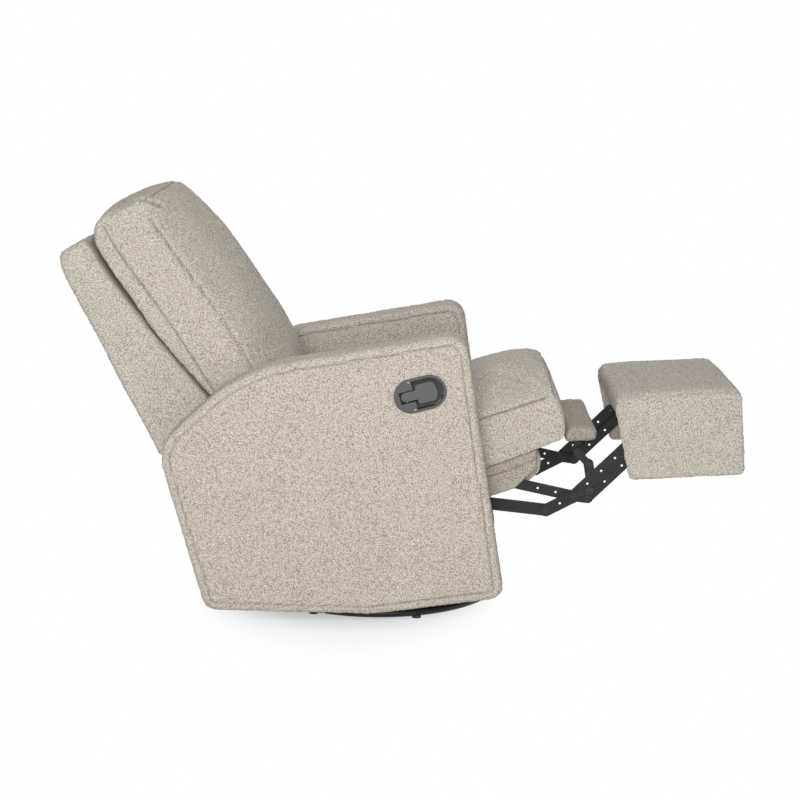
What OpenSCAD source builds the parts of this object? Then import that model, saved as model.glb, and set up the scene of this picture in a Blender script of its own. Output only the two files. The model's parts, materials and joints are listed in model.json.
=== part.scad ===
// Swivel glider recliner, shown reclined with its footrest out.
// +X points to the front, +Y to the sitter's left and +Z up; the origin is on the floor
// at the centre of the ring base. Lengths are in millimetres, angles in degrees.

/* [Chair body] */
// Width between the two arms
inner_w = 524; // [480:1:600]
// Thickness of one arm
arm_t = 98; // [80:1:130]
// Front edge of the arms, ahead of the swivel axis
arm_front = 310; // [270:1:350]
// Rear edge of the arms, behind the swivel axis
arm_rear = 450; // [410:1:490]
// Height of the arm tops
arm_top = 668; // [640:1:700]
// Gap between the arms and the floor
arm_low = 30; // [29:1:36]
// Padding and cloth over the arm frames
cover_t = 14; // [10:1:18]
// Backward tilt of the body at the rear end of its glide
body_tilt = 7.8; // [6:0.1:8.5]

/* [Ring base] */
// Outer diameter of the ring
ring_d = 600; // [520:1:640]
// Diameter of the ring's tube
ring_tube_d = 20; // [16:1:20]
// Height of the rubber feet under the ring
foot_gap = 4; // [3:0.5:5]
// Number of rubber feet
foot_count = 7; // [5:1:9]
// Radius of the circle of bearing balls
race_r = 75; // [65:1:85]
// Diameter of a bearing ball
ball_d = 8; // [6:1:9]

/* [Glider] */
// Half the distance between the upper link pivots
glide_top_x = 129; // [120:1:135]
// Height of the upper link pivots
glide_top_z = 172; // [165:1:176]
// Half the distance between the lower link pivots
glide_low_x = 54; // [50:1:58]
// Height of the lower link pivots
glide_low_z = 72; // [68:1:76]
// Width of a glide link
glide_link_w = 28; // [24:1:34]

/* [Seat] */
// Travel of the seat between upright and reclined
recline_travel = 45; // [35:1:48]
// Height of the seat cushion's underside above the swivel axis foot
seat_z = 270; // [260:1:280]
// Upward pitch of the seat against the body
seat_pitch = 11; // [9:0.5:13]
// Front of the seat cushion
seat_front = 530; // [520:1:534]
// Rear of the seat cushion
seat_rear = 110; // [90:1:130]
// Height of the seat cushion at its edges
seat_cushion_h = 112; // [104:1:124]
// Crown of the seat cushion above its edges
seat_crown = 100; // [60:1:104]
// Gap on each side between the seat cushion and the arms
cushion_side_gap = 7; // [6:0.5:22]
// Depth of the seat deck under the cushion
deck_h = 82; // [76:1:86]
// Front of the seat deck
deck_front = 440; // [430:1:444]

/* [Back] */
// Lean of the back shell's rear face
shell_lean = 18.6; // [17:0.1:20]
// Height of the back shell above the rear panel
shell_h = 521; // [490:1:550]
// Depth of the back shell's top
shell_top_d = 84; // [74:1:90]
// Gap on each side between the back and the arms
back_side_gap = 7; // [6:0.5:22]
// Height of the back cushion above the shell's lower corner
back_cushion_top = 572; // [550:1:590]
// Distance from the shell's rear face to the cushion's side seams
back_seam_d = 235; // [220:1:250]
// Crown of the back cushion's front beyond its seams
back_crown = 86; // [60:1:95]

/* [Footrest] */
// Length of the footrest
foot_l = 296; // [280:1:300]
// Width of the footrest
foot_w = 502; // [490:1:504]
// Depth of the footrest's side flaps
flap_h = 212; // [180:1:215]
// Thickness of the footrest's padded top
foot_top_t = 50; // [40:1:52]
// Thickness of the footrest's flaps
flap_t = 12; // [8:1:12]
// Width of the small pad between seat and footrest
mid_pad_w = 396; // [360:1:400]

/* [Footrest linkage] */
// Width of the main bars
main_bar_w = 30; // [26:1:30]
// Width of the other bars
side_bar_w = 26; // [22:1:27]
// Thickness of every bar and plate
bar_t = 4; // [3:0.1:4]
// Length of the rear bar from the seat plate to the main bar
rear_bar_l = 176.9; // [175:0.1:179]
// Length of the main bar above that pivot
main_bar_l = 226; // [222:1:228]
// Length of the main bar below that pivot
main_tail_l = 74.8; // [70:0.1:76]
// Pin diameter of the linkage
link_pin_d = 8; // [6:0.5:9]

/* [Handle] */
// Length of the oval handle cup
cup_l = 124; // [110:1:130]
// Height of the oval handle cup
cup_h = 80; // [72:1:84]
// Depth of the cup in the arm
cup_depth = 26; // [20:1:30]

/* [Hidden] */

// Clearances and small sizes that several pieces share
run_gap = 0.05;
soft_gap = 0.3;
slide_gap = 0.3;
cut = 1;
round_fn = 48;
hole_fn = 32;

// Colours
cloth = [0.80, 0.76, 0.70];
cloth_dark = [0.70, 0.66, 0.60];
steel = [0.09, 0.09, 0.10];
plastic = [0.17, 0.17, 0.19];
wood = [0.72, 0.55, 0.36];
rubber = [0.05, 0.05, 0.05];
zinc = [0.55, 0.55, 0.57];

// Half widths across the chair, from the middle outwards
arm_in = inner_w / 2;
arm_out = arm_in + arm_t;
seat_cushion_w = inner_w - 2 * cushion_side_gap;
back_w = inner_w - 2 * back_side_gap;
rail_y = arm_in - bar_t;
flap_out = foot_w / 2;
flap_in = flap_out - flap_t;
plane_gap = 0.6;
flap_room = 8.8;
bar_y3 = flap_in - flap_room;
bar_y4 = bar_y3 + bar_t + plane_gap;
bar_y2 = bar_y3 - plane_gap - bar_t;
bar_y1 = bar_y2 - plane_gap - bar_t;
wood_y = bar_y1 - bar_t - plane_gap;

// A point turned upwards from +X to +Z
function turned(p, a) = [p.x * cos(a) - p.y * sin(a), p.x * sin(a) + p.y * cos(a)];
function ray(p, l, a) = p + l * [cos(a), sin(a)];
function bearing(p, q) = atan2(q.y - p.y, q.x - p.x);

// One rounded corner of an outline, as arc points from edge a-p to edge p-b
function corner(a, p, b, r, n) =
    let (u = (a - p) / norm(a - p), v = (b - p) / norm(b - p), w = acos(u * v))
    let (c = p + (u + v) / norm(u + v) * r / sin(w / 2), s = p + u * r / tan(w / 2))
    let (a0 = bearing(c, s), turn = (180 - w) * (cross(u, v) < 0 ? 1 : -1))
    [for (k = [0 : n]) c + r * [cos(a0 + turn * k / n), sin(a0 + turn * k / n)]];

// An outline with its corners rounded, n steps to a corner; a radius of 0 leaves a corner sharp
function rounded(pts, radii, n) = [
    for (i = [0 : len(pts) - 1])
        let (a = pts[(i + len(pts) - 1) % len(pts)], b = pts[(i + 1) % len(pts)])
        each (radii[i] == 0 ? [pts[i]] : corner(a, pts[i], b, radii[i], n))
];

// The same outline moved inwards by d, with its corner radii reduced to match
function shrunk(pts, radii, d, n) =
    let (m = len(pts))
    rounded([for (i = [0 : m - 1])
        let (e1 = pts[i] - pts[(i + m - 1) % m], e2 = pts[(i + 1) % m] - pts[i])
        let (n1 = [e1.y, -e1.x] / norm(e1), n2 = [e2.y, -e2.x] / norm(e2))
        pts[i] - d * (n1 + n2) / (1 + n1 * n2)], [for (r = radii) r == 0 ? 0 : max(r - d, 2)], n);

// An outline with points added so that no edge is longer than step
function stepped(pts, step) = [
    for (i = [0 : len(pts) - 1])
        let (a = pts[i], b = pts[(i + 1) % len(pts)], n = max(1, ceil(norm(b - a) / step)))
        for (k = [0 : n - 1]) a + (b - a) * k / n
];

// Outward normal at each point of a counter-clockwise outline
function out_normal(pts, i) =
    let (m = len(pts), e1 = pts[i] - pts[(i + m - 1) % m], e2 = pts[(i + 1) % m] - pts[i])
    let (n1 = [e1.y, -e1.x] / norm(e1), n2 = [e2.y, -e2.x] / norm(e2))
    (n1 + n2) / max(norm(n1 + n2), 0.5);

// An outline moved inwards by d, or outwards where d is negative
function inset(pts, d) = [for (i = [0 : len(pts) - 1]) pts[i] - d * out_normal(pts, i)];

// An outline swollen by d where it faces the direction dir
function swollen(pts, d, dir) = [
    for (i = [0 : len(pts) - 1])
        let (n = out_normal(pts, i), w = max(0, n * dir / norm(dir)))
        pts[i] + d * w * n
];

// An outline in the XZ plane as a ring at one place across the chair
function ring_at(pts, y) = [for (p = pts) [p.x, y, p.y]];

// A closed solid through rings of equal length, in order of growing Y
module loft(rings) {
    m = len(rings[0]);
    last = (len(rings) - 1) * m;
    polyhedron(
        points = [for (r = rings) each r],
        faces = concat(
            [[for (i = [m - 1 : -1 : 0]) i]],
            [for (j = [0 : len(rings) - 2], i = [0 : m - 1]) each [
                [j * m + i, j * m + (i + 1) % m, (j + 1) * m + (i + 1) % m],
                [j * m + i, (j + 1) * m + (i + 1) % m, (j + 1) * m + i]
            ]],
            [[for (i = [0 : m - 1]) last + i]]
        ),
        convexity = 6
    );
}

// Shares of an edge radius: how far across and how far inwards each ring of a round edge lies
edge_steps = 3;
edge_across_shares = [for (k = [0 : edge_steps]) 1 - cos(90 * k / edge_steps)];
edge_inset_shares = [for (k = [0 : edge_steps]) 1 - sin(90 * k / edge_steps)];

// A slab with round edges of radius r between y0 and y1
function slab_ring(pts, radii, k, y, r) = ring_at(shrunk(pts, radii, r * edge_inset_shares[k], 5), y);
function slab_rings(pts, radii, y0, y1, r) = concat(
    [for (k = [0 : edge_steps]) slab_ring(pts, radii, k, y0 + r * edge_across_shares[k], r)],
    [for (k = [edge_steps : -1 : 0]) slab_ring(pts, radii, k, y1 - r * edge_across_shares[k], r)]
);

// A flat outline in XZ with thickness from y0 to y1, on one side or on both
module xz(y0, y1) {
    translate([0, y1, 0]) rotate([90, 0, 0]) linear_extrude(y1 - y0) children();
}
module xz_pair(y0, y1) {
    for (s = [0, 1]) mirror([0, s, 0]) xz(y0, y1) children();
}
module y_cylinder(p, r, y0, y1) {
    translate([p.x, y0, p.y]) rotate([-90, 0, 0]) cylinder(r = r, h = y1 - y0, $fn = hole_fn);
}
module y_cylinder_pair(p, r, y0, y1) {
    for (s = [0, 1]) mirror([0, s, 0]) y_cylinder(p, r, y0, y1);
}
// A bar with round ends from p to q; its sides meet the rounds just inside their width
bar_share = 0.997;
module bar(p, q, w) {
    translate(p) circle(d = w, $fn = hole_fn);
    translate(q) circle(d = w, $fn = hole_fn);
    translate(p) rotate(bearing(p, q)) translate([0, -w * bar_share / 2]) square([norm(q - p), w * bar_share]);
}
module dot(p, d) {
    translate(p) circle(d = d, $fn = hole_fn);
}
// A rivet along Y on both sides of the chair, with a head at each end unless it ends flush there
module rivet_pair(p, r, y0, y1, head_r, head_h, inner = 1, outer = 1) {
    for (s = [0, 1]) mirror([0, s, 0]) {
        y_cylinder(p, r, y0 - inner * head_h, y1 + outer * head_h);
        if (inner == 1) y_cylinder(p, head_r, y0 - head_h, y0 - run_gap);
        if (outer == 1) y_cylinder(p, head_r, y1 + run_gap, y1 + head_h);
    }
}
// A swept round wire through points, as one polyhedron
function wire_dir(pts, i) =
    let (a = pts[max(i - 1, 0)], b = pts[min(i + 1, len(pts) - 1)]) (b - a) / norm(b - a);
module wire(pts, r, sides, up) {
    rings = [for (i = [0 : len(pts) - 1])
        let (t = wire_dir(pts, i), u = cross(t, up) / norm(cross(t, up)), v = cross(u, t))
        [for (k = [0 : sides - 1]) pts[i] + r * (cos(360 * k / sides) * u + sin(360 * k / sides) * v)]];
    loft(rings);
}

// Frames of the moving groups at rest
module body_place() { rotate([0, -body_tilt, 0]) children(); }
module seat_place() { body_place() translate([0, 0, seat_z]) rotate([0, -seat_pitch, 0]) children(); }

// Base ring, its feet and the swivel bearing
ring_r = (ring_d - ring_tube_d) / 2;
ring_z = foot_gap + ring_tube_d / 2;
spoke_w = 36;
spoke_t = 6;
spoke_z = ring_z - spoke_t / 2;
hub_r = race_r + 22;
pin_r = 8;
foot_r = 11;
foot_phase = 32;
plate_t = 3;
race_half_w = 8;
race_rise = 4.4;
ball_z = spoke_z + spoke_t + plate_t + race_rise + plate_gap_half();
ball_count = 16;
function plate_gap_half() = 0.6;
upper_z = ball_z + plate_gap_half() + race_rise;

module ring_tube(r) {
    translate([0, 0, ring_z]) rotate_extrude($fn = 96) translate([ring_r, 0]) circle(r = r, $fn = 24);
}
module base_ring() color(steel) {
    difference() {
        union() {
            ring_tube(ring_tube_d / 2);
            for (a = [45, 135]) rotate(a)
                translate([-ring_r, -spoke_w / 2, spoke_z]) cube([2 * ring_r, spoke_w, spoke_t]);
            translate([0, 0, spoke_z]) cylinder(r = hub_r, h = spoke_t, $fn = round_fn);
        }
        translate([0, 0, spoke_z - cut]) cylinder(r = pin_r + run_gap, h = spoke_t + 2 * cut, $fn = hole_fn);
    }
}
module base_feet() color(rubber) {
    difference() {
        for (k = [0 : foot_count - 1]) rotate(foot_phase + 360 * k / foot_count)
            translate([ring_r, 0, 0]) cylinder(r = foot_r, h = foot_gap + ring_tube_d / 5, $fn = hole_fn);
        ring_tube(ring_tube_d / 2 + run_gap);
    }
}
module race(z, rise) {
    difference() {
        translate([0, 0, z]) difference() {
            cylinder(r = race_r + race_half_w, h = rise, $fn = round_fn);
            translate([0, 0, -cut]) cylinder(r = race_r - race_half_w, h = rise + 2 * cut, $fn = round_fn);
        }
        translate([0, 0, ball_z]) rotate_extrude($fn = round_fn)
            translate([race_r, 0]) circle(d = ball_d + 2 * run_gap, $fn = 24);
    }
}
module bearing_lower() color(zinc) {
    z = spoke_z + spoke_t;
    difference() {
        union() {
            translate([0, 0, z]) cylinder(r = hub_r, h = plate_t, $fn = round_fn);
            race(z + plate_t, race_rise);
        }
        translate([0, 0, z - cut]) cylinder(r = pin_r + run_gap, h = plate_t + 2 * cut, $fn = hole_fn);
        translate([0, 0, ball_z]) rotate_extrude($fn = round_fn)
            translate([race_r, 0]) circle(d = ball_d + 2 * run_gap, $fn = 24);
    }
}
module bearing_balls() color(zinc) {
    for (k = [0 : ball_count - 1]) rotate(360 * k / ball_count)
        translate([race_r, 0, ball_z]) sphere(d = ball_d, $fn = 24);
}
module bearing_upper() color(zinc) {
    difference() {
        union() {
            translate([0, 0, upper_z]) cylinder(r = hub_r, h = plate_t, $fn = round_fn);
            race(upper_z - race_rise, race_rise);
        }
        translate([0, 0, upper_z - cut]) cylinder(r = pin_r + run_gap, h = plate_t + 2 * cut, $fn = hole_fn);
        translate([0, 0, ball_z]) rotate_extrude($fn = round_fn)
            translate([race_r, 0]) circle(d = ball_d + 2 * run_gap, $fn = 24);
        turntable_holes();
    }
}
bolt_head_h = 4;
bolt_head_r = 14;
module swivel_bolt() color(zinc) {
    translate([0, 0, spoke_z - bolt_head_h]) cylinder(r = bolt_head_r, h = bolt_head_h, $fn = 6);
    translate([0, 0, spoke_z - bolt_head_h])
        cylinder(r = pin_r, h = upper_z + plate_t + run_gap - spoke_z + 2 * bolt_head_h, $fn = hole_fn);
    translate([0, 0, upper_z + plate_t + run_gap]) cylinder(r = bolt_head_r, h = bolt_head_h, $fn = hole_fn);
}

// Glider frame on the bearing, and the links that hang from it
frame_z = upper_z + plate_t;
beam_w = 30;
beam_wall = 2;
beam_x = 78;
frame_y = 238;
frame_t = 4;
post_r = 15;
foot_bar_w = 20;
tie_w = 28;
glide_pin_d = 10;
glide_slack = 1.8;
link_y = frame_y + frame_t + plane_gap;
link_t = 5;
turntable_bolt_y = 40;
turntable_bolt_r = 4;
module turntable_holes() {
    for (x = [-beam_x, beam_x], y = [-turntable_bolt_y, turntable_bolt_y])
        translate([x, y, upper_z - cut])
            cylinder(r = turntable_bolt_r + run_gap, h = plate_t + beam_w, $fn = hole_fn);
}
glide_tops = [[-glide_top_x, glide_top_z], [glide_top_x, glide_top_z]];
glide_lows = [[-glide_low_x, glide_low_z], [glide_low_x, glide_low_z]];
glide_lows_rest = [for (p = glide_lows) turned(p, body_tilt)];

module beam(x) {
    difference() {
        translate([x - beam_w / 2, -frame_y, frame_z]) cube([beam_w, 2 * frame_y, beam_w]);
        translate([x - beam_w / 2 + beam_wall, -frame_y - cut, frame_z + beam_wall])
            cube([beam_w - 2 * beam_wall, 2 * frame_y + 2 * cut, beam_w - 2 * beam_wall]);
    }
}
module glider_frame() color(steel) {
    foot_line = frame_z + foot_bar_w / 2;
    difference() {
        union() {
            beam(-beam_x);
            beam(beam_x);
            xz_pair(frame_y, frame_y + frame_t) {
                bar([-glide_top_x, foot_line], [glide_top_x, foot_line], foot_bar_w);
                for (p = glide_tops) bar([p.x, foot_line + post_r - foot_bar_w / 2], p, 2 * post_r);
                bar([-beam_x, foot_line], [-glide_top_x, glide_top_z / 2], tie_w);
                bar([beam_x, foot_line], [glide_top_x, glide_top_z / 2], tie_w);
            }
        }
        for (p = glide_tops)
            y_cylinder_pair(p, glide_pin_d / 2 + run_gap, frame_y - cut, frame_y + frame_t + cut);
        turntable_holes();
    }
}
module turntable_bolts() color(zinc) {
    top = frame_z + beam_wall;
    for (x = [-beam_x, beam_x], y = [-turntable_bolt_y, turntable_bolt_y]) translate([x, y, 0]) {
        translate([0, 0, upper_z - bolt_head_h / 2])
            cylinder(r = turntable_bolt_r, h = top - upper_z + 2 * bolt_head_h, $fn = hole_fn);
        translate([0, 0, top + run_gap]) cylinder(r = 2 * turntable_bolt_r, h = bolt_head_h, $fn = 6);
    }
}
pin_head_r = 8;
pin_head_h = 2.5;
module glide_top_pins() color(zinc) {
    for (p = glide_tops) rivet_pair(p, glide_pin_d / 2, frame_y, link_y + link_t, pin_head_r, pin_head_h);
}
module glide_link(top, low) {
    xz_pair(link_y, link_y + link_t) difference() {
        bar(top, low, glide_link_w);
        dot(top, glide_pin_d + 2 * run_gap);
        dot(low, glide_pin_d + 2 * glide_slack);
    }
}
module glide_links_rear() color(steel) glide_link(glide_tops[0], glide_lows_rest[0]);
module glide_links_front() color(steel) glide_link(glide_tops[1], glide_lows_rest[1]);

// Side rails, cross tubes and slides of the body
rail_low = 52;
rail_front = 225;
rail_rear = 330;
rail_rise = 30;
rail_corner = 20;
tube_r = 11;
tube_front = [60, 165];
tube_rear = [-215, 112];
slide_half_h = 13.5;
slide_wall = 2.5;
slide_mid = -22;
slide_front = 200;
slide_back = 265;
runner_front = 150;
runner_back = 215;
function in_body(p) = turned(p, seat_pitch) + [0, seat_z];
slide_clear = 4;
rail_top_front = in_body([rail_front, slide_mid - slide_half_h - slide_clear]);
rail_top_rear = in_body([-rail_rear, slide_mid - slide_half_h - slide_clear]);
rail_shape = rounded([
    [-glide_low_x, rail_low], [rail_front - rail_rise, rail_low], [rail_front, rail_low + rail_rise],
    [rail_top_front.x, in_body([rail_front, 0]).y], [rail_top_rear.x, in_body([-rail_rear, 0]).y],
    [-rail_rear, rail_low + rail_rise]
], [rail_corner, rail_corner, rail_corner, rail_corner, rail_corner, rail_corner], 4);
arm_bolt_r = 4;
arm_bolt_places = [
    [rail_front - 2 * rail_corner, rail_low + 2 * rail_corner],
    [-glide_low_x - 2 * rail_corner, rail_low + rail_corner + rail_rise],
    [-rail_rear + 2 * rail_corner, rail_low + 3 * rail_corner],
    [glide_low_x + 2 * rail_corner, glide_top_z]
];
module side_rail(s) color(steel) {
    body_place() mirror([0, s, 0]) difference() {
        xz(rail_y, arm_in) polygon(rail_shape);
        for (p = glide_lows) y_cylinder(p, glide_pin_d / 2 + run_gap, rail_y - cut, arm_in + cut);
        for (p = [tube_front, tube_rear]) y_cylinder(p, tube_r + run_gap, rail_y - cut, arm_in + cut);
        for (p = arm_bolt_places) y_cylinder(p, arm_bolt_r + run_gap, rail_y - cut, arm_in + cut);
    }
}
module glide_low_pins() color(zinc) body_place() {
    for (p = glide_lows) for (s = [0, 1]) mirror([0, s, 0]) {
        y_cylinder(p, glide_pin_d / 2, link_y - pin_head_h, arm_in - soft_gap);
        y_cylinder(p, pin_head_r, link_y - pin_head_h, link_y - plane_gap / 2);
        y_cylinder(p, pin_head_r, rail_y - pin_head_h, rail_y);
    }
}
module chassis_tubes() color(steel) body_place() {
    for (p = [tube_front, tube_rear]) difference() {
        y_cylinder(p, tube_r, -arm_in + soft_gap, arm_in - soft_gap);
        y_cylinder(p, tube_r - beam_wall, -arm_in, arm_in);
    }
}
channel_in = flap_in + slide_wall;
module slide_channels() color(zinc) seat_place() {
    for (s = [0, 1]) mirror([0, s, 0]) difference() {
        translate([-slide_back, channel_in, slide_mid - slide_half_h - slide_wall])
            cube([slide_back + slide_front, rail_y - channel_in, 2 * (slide_half_h + slide_wall)]);
        translate([-slide_back - cut, channel_in - cut, slide_mid - slide_half_h])
            cube([slide_back + slide_front + 2 * cut, rail_y - slide_wall - channel_in + cut, 2 * slide_half_h]);
    }
}

// Arms: wooden frames inside padded covers
arm_edge_r = 15;
arm_corner_radii = [300, 32, 45, 350, 90, 35];
arm_top_fall = 16;
arm_slope_x_share = 0.5;
arm_slope_z_share = 0.735;
arm_heel_x_share = 0.88;
arm_heel_rise = 63;
arm_points = [
    [0, arm_low], [arm_front, arm_low], [arm_front - arm_edge_r / 2, arm_top],
    [-arm_rear * arm_slope_x_share, arm_top - arm_top_fall],
    [-arm_rear, arm_low + (arm_top - arm_low) * arm_slope_z_share],
    [-arm_rear * arm_heel_x_share, arm_low + arm_heel_rise]
];
handle_x = 179;
handle_z = 542;
handle_turn = 6.7;
cup_wall = 3;
cup_lip = 3;
cup_lip_t = 2.5;
cup_room = 1;
frame_rail = 46;
frame_wall = 18;
frame_gap = cover_t + soft_gap;
module oval(l, h) {
    bar([-(l - h) / 2, 0], [(l - h) / 2, 0], h);
}
module at_handle() {
    body_place() translate([handle_x, 0, handle_z]) rotate([0, -handle_turn, 0]) children();
}
module arm_cover(s) {
    color(cloth) {
        difference() {
            body_place() mirror([0, s, 0]) difference() {
                loft(slab_rings(arm_points, arm_corner_radii, arm_in, arm_out, arm_edge_r));
                xz(arm_in + cover_t, arm_out - cover_t) polygon(shrunk(arm_points, arm_corner_radii, cover_t, 5));
                for (p = arm_bolt_places) y_cylinder(p, arm_bolt_r + run_gap, arm_in - cut, arm_in + cover_t + cut);
            }
            if (s == 1) at_handle()
                xz(-arm_out - cut, -arm_out + cup_depth + cut) oval(cup_l - 2 * cup_lip + 2 * cup_room, cup_h - 2 * cup_lip + 2 * cup_room);
        }
    }
}
// The frame is a ring of rails with one post, between the cover's inner faces
module arm_frame(s) color(wood) {
    outer = shrunk(arm_points, arm_corner_radii, frame_gap, 5);
    inner = shrunk(arm_points, arm_corner_radii, frame_gap + frame_rail, 5);
    y0 = arm_in + frame_gap;
    y1 = arm_out - frame_gap - cup_depth;
    body_place() mirror([0, s, 0]) difference() {
        xz(y0, y1) difference() {
            union() {
                difference() {
                    polygon(outer);
                    polygon(inner);
                }
                intersection() {
                    polygon(outer);
                    translate([-glide_low_x - frame_rail - frame_wall, arm_low]) square([frame_rail, arm_top]);
                }
                intersection() {
                    polygon(outer);
                    translate([-arm_rear, glide_top_z - frame_rail / 2]) square([arm_rear + arm_front, frame_rail]);
                }
            }
        }
        for (p = arm_bolt_places) y_cylinder(p, arm_bolt_r + run_gap, y0 - cut, y0 + frame_rail);
    }
}
arm_bolt_l = 40;
module arm_bolts() color(zinc) body_place() {
    for (s = [0, 1]) mirror([0, s, 0]) for (p = arm_bolt_places) {
        y_cylinder(p, arm_bolt_r, rail_y - bolt_head_h / 2, rail_y + arm_bolt_l);
        y_cylinder(p, 2 * arm_bolt_r, rail_y - bolt_head_h, rail_y);
    }
}

// Rear panel between the arms
panel_top = 434;
panel_low = 105;
panel_top_x = 459;
panel_low_x = 414;
panel_t = 16;
board_t = 8;
panel_edge_r = 5;
panel_half_w = arm_in - soft_gap;
panel_shape = [
    [-panel_low_x, panel_low], [-panel_low_x + panel_t, panel_low],
    [-panel_top_x + panel_t, panel_top], [-panel_top_x, panel_top]
];
board_shape = [
    [-panel_low_x + panel_t, panel_low], [-panel_low_x + panel_t + board_t, panel_low],
    [-panel_top_x + panel_t + board_t, panel_top], [-panel_top_x + panel_t, panel_top]
];
module rear_cover() color(cloth) body_place()
    loft(slab_rings(panel_shape, [for (p = panel_shape) panel_edge_r], -panel_half_w, panel_half_w, cut));
module rear_board() color(wood) body_place()
    xz(-panel_half_w, panel_half_w) polygon([for (p = board_shape) p + [soft_gap, 0]]);

// Slotted plates that guide the back, one on the inside of each arm
pivot_x = -190;
pivot_z = 20;
back_swing = 12;
guide_set = 72;
guide_reach = (recline_travel - guide_set * (1 - cos(back_swing))) / sin(back_swing);
guide_rise = guide_set * sin(back_swing) - guide_reach * (1 - cos(back_swing));
pivot_body = in_body([pivot_x, pivot_z]);
guide_pin = in_body([pivot_x - guide_set, pivot_z + guide_reach]);
guide_pin_r = 6;
guide_slack = 1;
guide_plate_w = 34;
guide_plate_h = 60;
module guide_plates() color(steel) body_place() {
    xz_pair(rail_y, arm_in) translate(guide_pin) rotate(seat_pitch) difference() {
        translate([-guide_plate_w / 2, (guide_rise - guide_plate_h) / 2]) square([guide_plate_w, guide_plate_h]);
        bar([0, 0], [0, guide_rise], 2 * (guide_pin_r + guide_slack));
        for (z = [-1, 1]) dot([0, (guide_rise + z * (guide_plate_h - 2 * guide_pin_r)) / 2], guide_pin_r);
    }
}

// Handle cup in the right arm, with its lever
cup_face = arm_out + cup_lip_t;
lever_pivot = -34;
cup_screw_x = -20;
lever_pin_r = 2.5;
lever_pin_y = arm_out - 10;
lever_neck_w = 22;
lever_head_w = 46;
lever_head_l = 40;
lever_t = 6;
lever_gap = 3;
lever_y = arm_out - 2;
lever_neck_l = 26;
lever_reach = 8;
cup_mouth_l = 73;
slot_w = lever_neck_w + 2 * lever_gap;
cup_screw_r = 2;
module lever_outline(grow) {
    bar([lever_pivot, 0], [lever_pivot + lever_neck_l, 0], lever_neck_w + 2 * grow);
    x = lever_pivot + lever_neck_l + lever_reach;
    offset(grow) offset(lever_reach) offset(-lever_reach)
        intersection() {
            translate([x - lever_reach, -lever_head_w / 2]) square([lever_head_l + lever_reach, lever_head_w]);
            dot([x + lever_reach / 2, 0], lever_head_w + lever_head_l / 1.5);
        }
}
module handle_cup() color(plastic) at_handle() {
    difference() {
        union() {
            xz(-cup_face, -arm_out) oval(cup_l, cup_h);
            xz(-arm_out, -arm_out + cup_depth) oval(cup_l - 2 * cup_lip, cup_h - 2 * cup_lip);
        }
        // the finger hollow at the front end
        xz(-cup_face - cut, -arm_out + cup_depth - cup_wall) intersection() {
            oval(cup_l - 4 * cup_lip, cup_h - 4 * cup_lip);
            translate([cup_l / 2 - cup_mouth_l - cup_lip, -cup_h / 2]) square([cup_mouth_l, cup_h]);
        }
        // the slot that the lever's neck lies in
        xz(-cup_face - cut, -arm_out + cup_depth - cup_wall)
            translate([lever_pivot - lever_neck_w / 2 - lever_gap, -slot_w / 2]) square([lever_neck_l + lever_neck_w, slot_w]);
        translate([lever_pivot, -lever_pin_y, -cup_h / 2 + 2 * cup_lip])
            cylinder(r = lever_pin_r + run_gap, h = cup_h - 4 * cup_lip, $fn = hole_fn);
        for (z = [-1, 1]) translate([0, 0, z * (cup_h / 2 - 2.4 * cup_lip)])
            y_cylinder([cup_screw_x, 0], cup_screw_r + run_gap, -cup_face - cut, -arm_out + cup_depth + cut);
    }
}
module handle_screws() color(zinc) at_handle() {
    for (z = [-1, 1]) translate([0, 0, z * (cup_h / 2 - 2.4 * cup_lip)]) {
        y_cylinder([cup_screw_x, 0], cup_screw_r, -arm_out, -arm_out + cup_depth + cup_wall);
    }
}
module lever_pin() color(zinc) at_handle() {
    translate([lever_pivot, -lever_pin_y, -cup_h / 2 + 2 * cup_lip + run_gap])
        cylinder(r = lever_pin_r, h = cup_h - 4 * cup_lip - 2 * run_gap, $fn = hole_fn);
}
module release_lever() color(plastic) at_handle() {
    difference() {
        union() {
            xz(-lever_y, -lever_y + lever_t) lever_outline(0);
            translate([lever_pivot, -lever_pin_y, -lever_neck_w / 2])
                cylinder(r = 2 * lever_pin_r + cup_lip_t, h = lever_neck_w, $fn = hole_fn);
        }
        translate([lever_pivot, -lever_pin_y, -lever_neck_w]) cylinder(r = lever_pin_r + run_gap, h = 2 * lever_neck_w, $fn = hole_fn);
    }
}

// Seat: runners, frame, springs, deck and cushion
wood_t = 22;
frame_low = -60;
frame_top = -8;
frame_front = 424;
frame_back = -135;
spring_r = 1.8;
spring_z = -5;
spring_count = 5;
spring_bends = 8;
spring_amp = 24;
deck_wall = 4;
deck_side = flap_in - 2;
deck_nose = 60;
module slide_runners() color(zinc) seat_place() {
    for (s = [0, 1]) mirror([0, s, 0]) {
        translate([-runner_back, bar_y1 + bar_t, slide_mid - slide_half_h / 2])
            cube([runner_back + runner_front, channel_in - bar_y1 - bar_t - slide_gap, slide_half_h]);
        translate([-runner_back, channel_in, slide_mid - slide_half_h + slide_gap])
            cube([runner_back + runner_front, rail_y - slide_wall - slide_gap - channel_in, 2 * (slide_half_h - slide_gap)]);
        translate([-runner_back, channel_in - slide_gap, slide_mid - slide_half_h / 2])
            cube([runner_back + runner_front, slide_gap, slide_half_h]);
    }
}
module seat_frame() color(wood) seat_place() {
    for (s = [0, 1]) mirror([0, s, 0]) difference() {
        translate([frame_back, wood_y - wood_t, frame_low]) cube([frame_front - frame_back, wood_t, frame_top - frame_low]);
        for (p = seat_bolt_places) y_cylinder(p, arm_bolt_r + run_gap, wood_y - wood_t / 2 - run_gap, wood_y + cut);
    }
    for (x = [frame_back, frame_front - wood_t])
        translate([x, -wood_y, frame_low]) cube([wood_t, 2 * wood_y, frame_top - frame_low]);
}
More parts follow.
